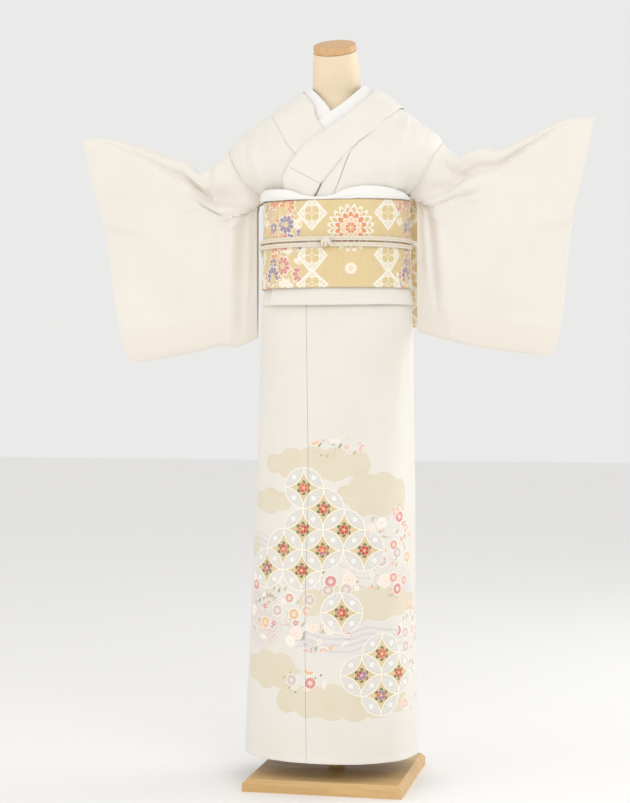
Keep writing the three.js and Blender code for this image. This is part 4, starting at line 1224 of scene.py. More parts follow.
# Seams and edges on the body, each as a height and an angle, and the heights of rows under the obi.
OVERLAP_SEAM = np.array([
    (58, -7.5), (371, -11), (623, -11.6), (940, -15.5), (976, -16), (1060, -6), (1157, 6.9), (1192, 10.2),
    (1228, 13.7), (1250, 17),
])
ARMHOLE = [(1164, 88), (1178, 82), (1195, 76), (1215, 73), (1238, 74), (1250, 78.5), (1257, 83), (1262, 90)]
LEFT_FRONT_EDGE = [
    (1157, 7.1), (1192, 10.4), (1228, 13.9), (1250, 17.2), (1284, 28), (1305, 43), (1323, 66), (1332, 90),
]
RIGHT_FRONT_EDGE = [
    (1157, -16), (1190, -6), (1222, 4), (1250, 13), (1282, 25), (1304, 40), (1322, 64), (1332, 90),
]
BACK_EDGE = [
    (1157, 180), (1196, 180), (1238, 180), (1276, 180), (1308, 180), (1314, 150), (1324, 119), (1332, 90),
]
WAIST = [1010, 1060, 1110, 1140]


def bodice_lift(degrees: Any) -> Any:
    """The left front's layer, which comes down to the back's at its side seam."""
    return blend(OVERLAP, BODICE, ease(38, 78, degrees))


def skirt_lift(degrees: Any) -> Any:
    """The left skirt's layer, which comes down to the back's at its side seam."""
    return blend(SKIRT_OVER, SKIRT_UNDER, ease(52, 74, degrees))


def fold_line(degrees: Any) -> Any:
    """The lowest line of the waist fold, which rises a little towards the back."""
    return FOLD_LEVEL + 4.5 * (1 - np.cos(np.radians(degrees)))


def seam_angle(z: Any) -> Any:
    """Half a seam's width as degrees round the body."""
    radius = -innermost(z, np.zeros_like(z))[..., 1]
    return SEAM / 2 / radius * (180 / math.pi) * 1.6


def overlap_seam(z: Any) -> Any:
    """Where the left front meets its overlap strip."""
    return curve_rows(OVERLAP_SEAM, z)[..., 0]


def seam_dip(edge: Array) -> Array:
    """How far the cloth sinks at a distance from its sewn edge."""
    return -0.5 * bell(edge, 2.5)


# ---- the dress form


@dataclass
class DressForm:
    """The limbless form: a trunk with a neck, its cap, a post and a base board."""

    skin: Jersey = Jersey("Form jersey", (0.85, 0.70, 0.50))
    cap_wood: Wood = Wood("Cap oak", (0.76, 0.49, 0.24), (0.54, 0.29, 0.12), (1.0, 9.0, 1.0))
    board_wood: Wood = Wood("Board oak", (0.70, 0.47, 0.21), (0.55, 0.34, 0.13), (0.09, 1.0, 1.0))
    # Height, depth of the middle, half the width, front, back and forward tilt of each section.
    trunk: Rows = (
        (690, 0, 112, 84, 84, 0), (740, 0, 138, 103, 98, 0), (880, 0, 138, 101, 97, 0),
        (1000, 0, 122, 86, 84, 0), (1100, 0, 120, 86, 84, 0), (1170, 0, 132, 90, 88, 0),
        (1230, 0, 150, 84, 90, 0), (1280, 0, 136, 68, 84, 0), (1312, 0, 98, 60, 70, 0),
        (1338, -3, 66, 49, 58, 4), (1362, -5, 50, 42, 50, 8), (1384, -8, 48, 42, 48, 12),
        (1418, -16, 46.5, 43, 46, 18), (1449, -24.3, 43.5, 43.5, 43.5, 24),
    )
    shift: float = 1.0
    cap_radius: float = 42.5
    cap_height: float = 14.0
    cap_edge: float = 1.6
    cap_tilt: float = 24.0
    cap_depth: float = -24.3
    cap_level: float = 1449.0

    def tilted(self, rows: Array, degrees: Array) -> Array:
        """Rings of the trunk, each cut at its own tilt.

        Args:
            rows: The sections.
            degrees: The angle of each point of a ring.

        Returns:
            Rings by points.
        """
        z, y, half, front, back, tilt = (rows[:, k, None] for k in range(6))
        s, c = np.sin(np.radians(degrees)), np.cos(np.radians(degrees))
        depth = -np.where(c > 0, front, back) * c
        lean = np.radians(tilt)
        return np.stack([self.shift + half * s, y + depth * np.cos(lean), z + depth * np.sin(lean)], axis=-1)

    def cap(self, degrees: Array) -> Array:
        """Rings of the cap, with rounded edges, tilted as the neck's top is."""
        r, h, edge = self.cap_radius, self.cap_height, self.cap_edge
        profile = [
            (r - edge, 0), (r - 0.3, 0.4), (r, edge), (r, h - 3.2), (r - 0.5, h - 1.8), (r - 1.4, h - 0.6),
            (r - 2.8, h), (r * 0.5, h),
        ]
        lean = math.radians(self.cap_tilt)
        out, z = np.moveaxis(np.array(profile)[:, None], -1, 0)
        x, y, z = self.shift + out * np.cos(np.radians(degrees)), out * np.sin(np.radians(degrees)), z + SEAM
        depth = y * math.cos(lean) - z * math.sin(lean) + self.cap_depth
        level = y * math.sin(lean) + z * math.cos(lean) + self.cap_level
        return np.stack([x, depth, level], axis=-1)

    def build(self) -> None:
        """Make the trunk and the cap, and dress the post and the board."""
        rows = share_rows(self.trunk, np.linspace(0, 1, 79))
        degrees = np.arange(0, 360, 5.0)
        skin = self.skin.nodes().material
        trunk = solid("dress_form", self.tilted(rows, degrees), skin)
        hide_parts("form_body")
        cap = solid("form_cap", self.cap(degrees), self.cap_wood.nodes().material)
        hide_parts("neck_cap")
        board = self.board_wood.nodes().material
        for name in ("base_board", "post"):
            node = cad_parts[name]
            node.data.materials.clear()
            node.data.materials.append(board)


# ---- the skirt


@dataclass(frozen=True)
class Panel:
    """A panel of the skirt between two edges.

    Attributes:
        name: The piece and the solid that it stands for.
        start: The edge with the lower angle, as a function of the height.
        end: The other edge.
        lift: Its layer, as a function of the angle.
        flat: The width and the length that it shows of the cut cloth, in metres.
    """

    name: str
    start: Curve
    end: Curve
    lift: Curve
    flat: tuple[float, float]


@dataclass
class Skirt:
    """The kimono below the waist tie: four widths and two overlap strips."""

    hem: float = 58.0
    top: float = 1040.0
    row_step: float = 7.0
    column_degrees: float = 2.2
    creases: tuple[Crease, ...] = crease_table(
        (-120, 905, 70, 898, 7, 1.0), (-100, 879, 150, 868, 6, -1.1), (-60, 864, 170, 853, 7, 1.0),
        (60, 915, 190, 902, 8, -0.9), (-40, 830, -150, 780, 16, -1.2), (150, 820, 120, 560, 22, 1.6),
        (190, 700, 170, 240, 26, -2.2), (-150, 640, -165, 120, 24, 2.0), (60, 420, 72, 62, 26, 1.5),
        (-70, 330, -80, 60, 24, -1.6), (120, 330, 128, 58, 20, -1.6), (300, 800, 310, 70, 34, 2.2),
        (-320, 760, -330, 70, 36, -2.0), (390, 600, 392, 60, 30, 1.4),
    )

    def drape(self, z: Array, arc: Array) -> Array:
        """How far the folds and the turned hem move each point outwards."""
        return creased(self.creases, arc, z) + 0.9 * bell(z - self.hem - 3, 5)

    def panels(self) -> list[Panel]:
        """The panels, each with its edges a seam's width apart."""
        def fixed(angle: float, side: float) -> Curve:
            """An edge at one angle, moved aside by half a seam."""
            return lambda z: angle + side * seam_angle(z)

        def under(degrees: Array) -> Array:
            """The layer next to the body."""
            return np.full_like(degrees, SKIRT_UNDER)

        return [
            Panel("skirt_back_left", fixed(90, 1), fixed(180, -1), under, (0.22, 0.99)),
            Panel("skirt_back_right", fixed(180, 1), fixed(276, -1), under, (0.23, 0.99)),
            Panel("skirt_front_left", lambda z: overlap_seam(z) + seam_angle(z), fixed(90, -1),
                  skirt_lift, (0.26, 0.99)),
            Panel("skirt_overlap_left", lambda z: np.full_like(z, -82),
                  lambda z: overlap_seam(z) - seam_angle(z), skirt_lift, (0.18, 0.99)),
            Panel("skirt_front_right", fixed(-84, 1), fixed(-8, -1), under, (0.19, 0.99)),
            Panel("skirt_overlap_right", fixed(-8, 1), lambda z: np.full_like(z, 44), under, (0.14, 0.99)),
        ]

    def build(self, outside: Material, inside: Material) -> None:
        """Make every panel, with an outer and an inner finish."""
        z = fine([self.hem, self.hem + 10, 880, self.top], self.row_step)
        z = np.unique(np.concatenate([z, self.hem + np.array([1.0, 2.5, 4.0, 6.0])]))
        for panel in self.panels():
            start, end = panel.start(z), panel.end(z)
            columns = int(np.max(end - start) / self.column_degrees) + 2
            degrees = blend(start[:, None], end[:, None], np.linspace(0, 1, columns)[None, :])
            level = np.repeat(z[:, None], columns, axis=1)
            arc = body_arc(level, degrees)
            grid = body_point(level, degrees, panel.lift(degrees))
            edge = np.minimum(arc - arc[:, :1], arc[:, -1:] - arc)
            dip = seam_dip(edge)
            if panel.name == "skirt_overlap_left":
                dip = dip - 0.8 * bell(arc - arc[:, :1], 9)
            # The folds fade out under the waist fold.
            drape = self.drape(level, arc) * ease(1010, 935, level) + dip
            thick = CLOTH + 0.8 * bell(level - self.hem - 2, 4)
            shell = Shell(panel.name + "_cloth", grid, thick, np.stack([arc, level], -1), drape=drape)
            made = shell.build(outside, inside)
            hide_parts(panel.name)


# ---- the upper body


@dataclass
class Bodice:
    """The body lengths above the waist tie, with the waist fold and the upper overlap strip."""

    columns: int = 46
    strip_columns: int = 18
    right_edge: float = -34.0
    right_seam: float = 84.0
    creases: tuple[Crease, ...] = crease_table(
        (150, 1290, 128, 1180, 9, 2.6), (132, 1296, 112, 1190, 8, -2.2), (96, 1300, 84, 1196, 10, 1.6),
        (60, 1190, 170, 1196, 9, -1.4), (186, 1250, 160, 1180, 9, -2.4), (200, 1235, 176, 1176, 8, 1.8),
        (-156, 1285, -138, 1175, 9, 2.4), (-132, 1262, -110, 1165, 8, -2.2),
        (-176, 1270, -160, 1180, 8, -2.0), (-200, 1240, -176, 1176, 8, 1.8),
        (-90, 1240, -80, 1166, 12, 1.8), (40, 1240, 70, 1166, 11, 1.3), (330, 1290, 300, 1180, 12, 2.0),
        (-330, 1290, -300, 1180, 12, 2.0), (390, 1250, 360, 1175, 14, -1.6),
        (-390, 1250, -360, 1175, 14, -1.6), (-120, 956, 80, 952, 9, 0.8), (60, 962, 200, 958, 7, -0.8),
    )

    def drape(self, z: Array, arc: Array) -> Array:
        """How far the folds move each point outwards: none where the obi presses."""
        pressed = ease(1176, 1160, z) * ease(962, 976, z)
        return creased(self.creases, arc, z) * (1 - pressed)

    def fold(self, start: float, end: float, columns: int, side: int, lift: Curve,
             outer_only: bool = False) -> OnBody:
        """The waist fold from its inner leg round its lowest line and up.

        Args:
            start: The angle of its first column.
            end: The angle of its last one.
            columns: How many columns it has.
            side: 1 for the wearer's left and -1 for the right.
            lift: Its layer.
            outer_only: Whether the inner leg is left out.

        Returns:
            The height, the angle and the lift of each point.
        """
        turn = np.radians(np.linspace(0, 180, 9))
        rise = np.concatenate([[34, 20, 10], 3.4 - 3.4 * np.sin(turn), [10, 20, 34]])
        depth = np.concatenate([[1, 1, 1], 0.5 + 0.5 * np.cos(turn), [0, 0, 0]])
        if outer_only:
            rise, depth = rise[-7:], depth[-7:]
        degrees = np.linspace(start, end, columns)[None, :]
        z = fold_line(degrees) + rise[:, None]
        out = np.broadcast_to(lift(degrees), degrees.shape) - depth[:, None] * FOLD_DEPTH
        return z, np.broadcast_to(side * degrees, z.shape), out

    def length(self, side: int, front: Array, neck: Rows, seam: float,
               lift: Curve) -> OnBody:
        """A body length from the waist at the front over the shoulder to the waist fold at the back.

        Args:
            side: 1 for the wearer's left and -1 for the right.
            front: The height and the angle of the front edge, below the chest.
            neck: The neck edge beside each row of the armhole.
            seam: The side seam's angle.
            lift: Its layer.

        Returns:
            The height, the angle and the lift of each point.
        """
        gap = SEAM_DEGREES
        share = np.linspace(0, 1, self.columns)[None, :]
        low = [(z, a, z, seam - gap) for z, a in front]
        chest = [(*n, *o) for n, o in zip(neck, ARMHOLE)]
        blade = [(z, min(a, 180 - gap), o[0], 180 - o[1]) for (z, a), o in zip(BACK_EDGE, ARMHOLE)]
        back = [(z, 180 - gap, z, seam + gap) for z in WAIST]
        rows = np.array(low + chest + blade[:-1][::-1] + back[::-1], dtype=float)
        along = fine(list(np.linspace(0, 1, len(rows))), 1 / (len(rows) - 1) / 5)
        neck_z, neck_a, out_z, out_a = np.moveaxis(share_rows(rows, along), -1, 0)
        z = blend(neck_z[:, None], out_z[:, None], share)
        degrees = blend(neck_a[:, None], out_a[:, None], share)
        fold_z, fold_a, fold_lift = self.fold(180 - gap, seam + gap, self.columns, side, lift)
        z = np.concatenate([z, fold_z[::-1]])
        out = np.concatenate([np.broadcast_to(lift(degrees), degrees.shape), fold_lift[::-1]])
        return z, np.concatenate([side * degrees, fold_a[::-1]]), out

    def make(self, name: str, leg: OnBody, rest: OnBody,
             silk: tuple[Material, Material]) -> None:
        """Make one piece of the upper body.

        Args:
            name: The piece and the solid that it stands for.
            leg: Its waist fold at the front.
            rest: Its cloth above that.
            silk: The outer and the inner finish.
        """
        z, degrees, lift = (np.concatenate(pair) for pair in zip(leg, rest))
        grid = body_point(z, degrees, lift)
        arc = np.where(degrees < 0, -1, 1) * body_arc(np.round(z), np.abs(degrees))
        edge = np.minimum(arc_lengths(grid, 1), arc_lengths(grid[:, ::-1], 1)[:, ::-1])
        drape = self.drape(z, arc) + seam_dip(edge)
        made = Shell(name + "_cloth", grid, CLOTH, np.stack([arc, z], -1), drape=drape).build(*silk)
        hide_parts(name)

    def build(self, outside: Material, inside: Material) -> None:
        """Make both body lengths and the upper overlap strip."""
        silk = (outside, inside)

        def flat_lift(degrees: Array) -> Array:
            """The right front and the back lie on one layer."""
            return np.full_like(degrees, BODICE)

        def overlap_lift(degrees: Array) -> Array:
            """The overlap strip lies on the left front's layer."""
            return np.full_like(degrees, OVERLAP)

        waist = np.array(WAIST, dtype=float)
        edge = overlap_seam(waist) + seam_angle(waist)
        length = self.length(1, np.column_stack([waist, edge]), LEFT_FRONT_EDGE, 90, bodice_lift)
        lowest = np.array(FOLD_LEVEL)
        start = float(overlap_seam(lowest) + seam_angle(lowest))
        leg = self.fold(start, 90 - SEAM_DEGREES, self.columns, 1, bodice_lift)
        self.make("body_left", leg, length, silk)

        front = np.column_stack([waist, np.full_like(waist, self.right_edge)])
        length = self.length(-1, front, RIGHT_FRONT_EDGE, self.right_seam, flat_lift)
        leg = self.fold(self.right_edge, self.right_seam - SEAM_DEGREES, self.columns, -1, flat_lift,
                        outer_only=True)
        self.make("body_right", leg, length, silk)

        rows = np.array([*WAIST, *(z for z, _ in LEFT_FRONT_EDGE[:4])], dtype=float)
        inner = overlap_seam(rows) - seam_angle(rows)
        width = np.linspace(30, 1.8, len(rows))
        z, inner, width = (share_rows(v[:, None], np.linspace(0, 1, 60)) for v in (rows, inner, width))
        share = np.linspace(0, 1, self.strip_columns)[None, :]
        degrees = inner - width * (1 - share)
        leg = self.fold(-48, float(inner[0, 0]), self.strip_columns, 1, overlap_lift)
        strip = (np.broadcast_to(z, degrees.shape), degrees, overlap_lift(degrees))
        self.make("overlap_left_upper", leg, strip, silk)


# ---- the collars


@dataclass
class Collars:
    """The over-collar, the end of the main collar, and the white inner collar."""

    # Neck edge and outer edge as height and angle, then the layer: 0 under the left front, 1 over it. The
    # inner collar has its lift in place of the layer.
    over_rows: Rows = (
        (1236, 16, 1196, -4, 0), (1262, 6, 1218, -10.5, 0), (1284, -2.4, 1240, -16.5, 0),
        (1307, -8, 1264, -24, 0), (1332, -18, 1290, -33, 0), (1352, -36, 1312, -48, 0),
        (1363, -62, 1324, -68, 0), (1368, -90, 1328, -90, 0),
        (1366, -122, 1320, -120, 0.06), (1357, -151, 1307, -150, 0.06), (1352, -180, 1300, -180, 0.06),
        (1357, -209, 1307, -210, 0.06), (1366, -238, 1320, -240, 0.06), (1368, -270, 1328, -270, 0),
        (1361, -298, 1322, -294, 0.3), (1347, -319, 1309, -313, 0.8), (1328, -337, 1289, -327, 1),
        (1301, -352, 1260, -339.5, 1), (1273, -363.7, 1231, -348.4, 1), (1238, -373, 1198, -355.6, 1),
        (1213, -380.5, 1178, -363.2, 1),
    )
    end_rows: Rows = (
        (1212.7, -380.65, 1177.7, -363.35, 1), (1178, -392, 1158, -368, 1), (1147, -399, 1147, -371, 1),
    )
    inner_rows: Rows = (
        (1296, 12, 1270, 2, 4.2), (1324, -1.5, 1290, -8, 4.2), (1347, -13, 1315, -22, 4.2),
        (1366, -34, 1335, -44, 5), (1375, -62, 1346, -66, 6), (1377, -90, 1348, -90, 6.6),
        (1374, -122, 1342, -122, 5), (1365, -151, 1332, -151, 5), (1360, -180, 1327, -180, 5),
        (1365, -209, 1332, -209, 5), (1374, -238, 1342, -238, 5), (1378, -270, 1348, -270, 5.4),
        (1375, -298, 1346, -296, 6.4), (1364, -326, 1336, -320, 7.2), (1347, -344, 1316, -337, 7.4),
        (1322, -361.5, 1290, -351, 7.4), (1298, -369, 1268, -360, 7.4),
    )
    between: int = 8
    columns: int = 21

    def band(self, name: str, rows: Rows, lifts: Curve,
             thickness: float, cloth: Material, slot: Slot, flat: tuple[float, float],
             curls: tuple[float, float] = (1.3, 2.2)) -> None:
        """Make a collar band along its rows, with rounded long edges that curl down.

        Args:
            name: The piece and the solid that it stands for.
            rows: Its rows.
            lifts: How far out a layer lies.
            thickness: Its thickness.
            cloth: Its finish.
            slot: A material slot, which is not used.
            flat: The width and the length of the cut cloth that shows, in metres; not used.
            curls: How far the edges curl down on the lowest and on the highest layer.
        """
        even = share_rows(rows, np.linspace(0, 1, self.between * (len(rows) - 1) + 1))
        if len(rows) > 4:
            even = smoothed(even, 11)
        neck_z, neck_a, out_z, out_a, layer = np.moveaxis(even, -1, 0)
        share = np.linspace(0, 1, self.columns)
        share = (share + 0.5 * (1 - np.cos(math.pi * share)))[None, :] / 2
        z = blend(neck_z[:, None], out_z[:, None], share)
        degrees = blend(neck_a[:, None], out_a[:, None], share)
        edge = np.minimum(share, 1 - share) * 70
        curl = blend(*curls, layer[:, None] / max(1.0, layer.max())) * bell(edge, 5)
        grid = body_point(z, degrees, lifts(layer)[:, None] - curl)
        thick = thickness * (0.3 + 0.7 * rounded(edge / 3.2)) * np.ones_like(z)
        shell = Shell(name + "_cloth", grid, thick, grid_uv(grid), centre=(0, 10, 1290))
        made = shell.build(cloth, cloth)
        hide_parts(name)

    def build(self, silk: Material, lining: Material) -> None:
        """Make the three bands."""
        def layered(layer: Array) -> Array:
            """The lift of a row of the over-collar."""
            return blend(UNDER_COLLAR, OVER_COLLAR, layer)

        self.band("over_collar", self.over_rows, layered, 2.8, silk, Slot.SILK, (0.07, 0.86))
        self.band("collar_end", self.end_rows, layered, 2.8, silk, Slot.SILK, (0.069, 0.06))
        self.band("inner_collar", self.inner_rows, lambda lift: lift, 1.5, lining, Slot.WHITE_SILK,
                  (0.046, 0.65), (0.6, 0.6))


# ---- the sleeves

# How far the long fold from the wrist stands out, by the share of the way down to it and on from it.
ABOVE_RIDGE = [(0, 0), (0.12, 3), (0.34, 4), (0.58, -5), (0.76, -13), (0.9, -5), (1, 8)]
BELOW_RIDGE = [(0, 8), (0.03, 9.5), (0.08, 5), (0.14, 0), (0.24, -1), (0.6, 0), (1, 0)]
# The share of the way down where the fold starts at the body and the sewn armhole ends.
RIDGE_DROP = 0.226


@dataclass
class Sleeve:
    """A sleeve: a bag with an open wrist slit and an open inner edge.

    Attributes:
        name: The piece and the solid that it stands for.
        side: 1 for the wearer's left and -1 for the right.
        top: How far out and how high its top edge is, from the body outwards.
        bottom: The same for its bottom edge.
        outer: The same for its outer edge, from the top down.
        creases: Its folds, across and down in millimetres from its top inner corner.
        open_edge: How far out its open inner edge starts, below the armhole.
        sewn_gap: How far it is clear of the body where it is sewn on.
        forward: How far its top outer corner hangs forward.
        hollow: Half the space between its walls.
        wide: Its width on the flat cloth.
        deep: Its depth on the flat cloth.
    """

    name: str
    side: int
    top: Rows
    bottom: Rows
    outer: Rows
    creases: tuple[Crease, ...]
    open_edge: float = 158.0
    sewn_gap: float = 0.6
    forward: float = 58.0
    hollow: float = 11.0
    wide: float = 350.0
    deep: float = 430.0

    def points(self, u: Array, v: Array, face: int) -> Array:
        """The points of one wall.

        Args:
            u: The shares of the way out from the body, one for each station.
            v: The share of the way down for each station and row.
            face: 1 at the front and -1 at the back.

        Returns:
            Stations by rows of points, in millimetres.
        """
        u = np.broadcast_to(u[:, None], v.shape)
        top, bottom, outer = share_rows(self.top, u), share_rows(self.bottom, u), share_rows(self.outer, v)
        seam = share_rows(ARMHOLE, 1 - np.minimum(v / RIDGE_DROP, 1))
        angle = seam[..., 1] if face > 0 else 180 - seam[..., 1]
        sewn = body_point(seam[..., 0], self.side * angle, np.full(v.shape, BODICE))
        armhole = 1 - ease(RIDGE_DROP - 0.012, RIDGE_DROP + 0.012, v)
        low = np.clip((v - RIDGE_DROP) / (1 - RIDGE_DROP), 0, 1)
        across = blend(self.open_edge, self.bottom[0][0], ease(0, 0.12, low))
        free_edge = np.stack([across, blend(ARMHOLE[0][0], self.bottom[0][1], low)], -1)
        held_edge = np.stack([np.abs(sewn[..., 0]) + self.sewn_gap, sewn[..., 2]], -1)
        inner = blend(free_edge, held_edge, armhole[..., None])
        first_top, first_bottom = np.array(self.top[0]), np.array(self.bottom[0])
        last_top, last_bottom = np.array(self.top[-1]), np.array(self.bottom[-1])
        w, h = u[..., None], v[..., None]
        # A patch between the four edges, which counts no corner twice.
        flat = (1 - h) * top + h * bottom + (1 - w) * inner + w * outer
        flat = flat - (1 - w) * ((1 - h) * first_top + h * first_bottom)
        flat = flat - w * ((1 - h) * last_top + h * last_bottom)
        rounding = rounded(v / 0.03) * rounded((1 - v) / 0.35)
        slit = 1 - ease(0.42, 0.46, v)
        pinch = 1 - ease(0.55, 1.0, u) * (1 - 0.75 * slit)
        middle = -self.forward * u * (1 - v) - 3
        fade = ease(0, 0.12, u) * (1 - ease(0.8, 0.97, u))
        hollow = self.hollow * rounding * np.maximum(pinch, 0.09)
        free = middle - face * hollow - self.swell(u, v) * fade * (1 if face > 0 else 0.6) * rounding
        tied = blend(-face * 7 * rounding, sewn[..., 1], armhole)
        y = blend(tied, free, ease(0, 0.2, u))
        folds = creased(self.creases, u * self.wide, -v * self.deep) * ease(0.02, 0.1, u) * rounding
        y = y - folds * (1 if face > 0 else 0.75)
        return np.stack([self.side * flat[..., 0], y, flat[..., 1]], -1)

    @staticmethod
    def ridge(u: Array) -> Array:
        """How far down the long fold from the wrist lies."""
        return np.maximum(RIDGE_DROP * (1 - u / 0.93), 0.022)

    def swell(self, u: Array, v: Array) -> Array:
        """How far the long fold from the wrist stands out."""
        ridge = self.ridge(u)
        above = curve_rows(np.array(ABOVE_RIDGE), np.clip(v / ridge, 0, 1))[..., 0]
        wide = np.clip(ridge / RIDGE_DROP * 1.5, 0.15, 1)
        above = above * wide + 8 * (v / ridge) ** 3 * (1 - wide)
        strength = 0.35 + 0.65 * wide
        below = curve_rows(np.array(BELOW_RIDGE), np.clip((v - ridge) / (1 - ridge), 0, 1))[..., 0]
        return np.where(v < ridge, above, below) * strength

    def rows_down(self, u: Array) -> Array:
        """The share of the way down of each row at each station."""
        ridge = self.ridge(u)[:, None]
        above = fine([0, 0.02, 0.06, 0.12, 1], 0.055)[None, :]
        below = fine([0, 0.4, 0.9, 0.97, 1], 0.016)[None, 1:]
        return np.concatenate([ridge * above, ridge + (1 - ridge) * below], axis=1)

    def build(self, silk: Material, lining: Material) -> None:
        """Make the sleeve as one bag of cloth, with its lining's finish inside."""
        u = np.concatenate([np.linspace(0, 0.2, 14), np.linspace(0.2, 1, 62)[1:]])
        v = self.rows_down(u)
        front, back = self.points(u, v, 1), self.points(u, v, -1)
        rings = np.concatenate([front, back[:, -2:0:-1]], axis=1)
        place = np.stack([np.broadcast_to(u[:, None] * self.wide, v.shape), -v * self.deep], -1)
        uv = np.concatenate([place, place[:, -2::-1]], axis=1)
        centre = (self.side * 330.0, -18.0, 1040.0)
        shell = Shell(self.name + "_cloth", rings, CLOTH, uv, ring=True, centre=centre)
        made = shell.build(silk, lining)
        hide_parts(self.name)


def sleeves() -> list[Sleeve]:
    """Both sleeves, each as it hangs."""
    left = Sleeve(
        "sleeve_left", 1,
        [(212, 1268), (228, 1250), (248, 1238), (272, 1247), (297, 1251), (327, 1246), (366, 1261),
         (406, 1276), (445, 1293), (480, 1297), (511, 1295)],
        [(163, 893), (226, 875), (287, 862), (362, 851), (414, 845), (430, 851)],
        [(511, 1295), (497, 1225), (482, 1160), (469, 1104), (458, 1020), (451, 940), (441, 880), (430, 851)],
        crease_table(
            (6, -86, 125, -60, 7, 5.5), (12, -102, 140, -84, 7, -6.5), (14, -36, 100, -50, 6, -5.0),
            (4, -120, 60, -132, 9, 4.0), (30, -60, 250, -8, 9, 4.1), (40, -78, 210, -32, 8, -5.4),
            (20, -96, 150, -70, 8, 3.7), (10, -60, 26, -250, 12, 4.4), (34, -120, 46, -330, 13, -4.1),
            (60, -150, 78, -400, 20, 3.1), (230, -60, 200, -320, 26, 2.7), (300, -50, 285, -230, 16, -2.7),
        ),
    )
    right = Sleeve(
        "sleeve_right", -1,
        [(221, 1262), (240, 1236), (262, 1222), (278, 1212), (294, 1226), (310, 1240), (329, 1243),
         (378, 1262), (439, 1281), (480, 1287), (511, 1284)],
        [(163, 883), (207, 864), (238, 867), (301, 853), (387, 838), (420, 834), (433, 840)],
        [(511, 1284), (496, 1203), (483, 1150), (475, 1112), (466, 1030), (458, 950), (446, 875), (433, 840)],
        crease_table(
            (6, -80, 120, -58, 7, 5.0), (12, -96, 150, -80, 7, -6.0), (60, -18, 92, -58, 7, 5.0),
            (4, -116, 60, -128, 9, 4.0), (30, -52, 250, -12, 9, 4.8), (40, -72, 220, -30, 8, -5.8),
            (20, -92, 170, -62, 8, 4.1), (12, -60, 24, -300, 12, 4.8), (36, -110, 44, -380, 13, -4.8),
            (62, -150, 80, -410, 18, 3.4), (110, -160, 118, -400, 24, -2.4), (220, -60, 205, -300, 26, 2.7),
        ),
    )
    return [left, right]


# ---- the obi set


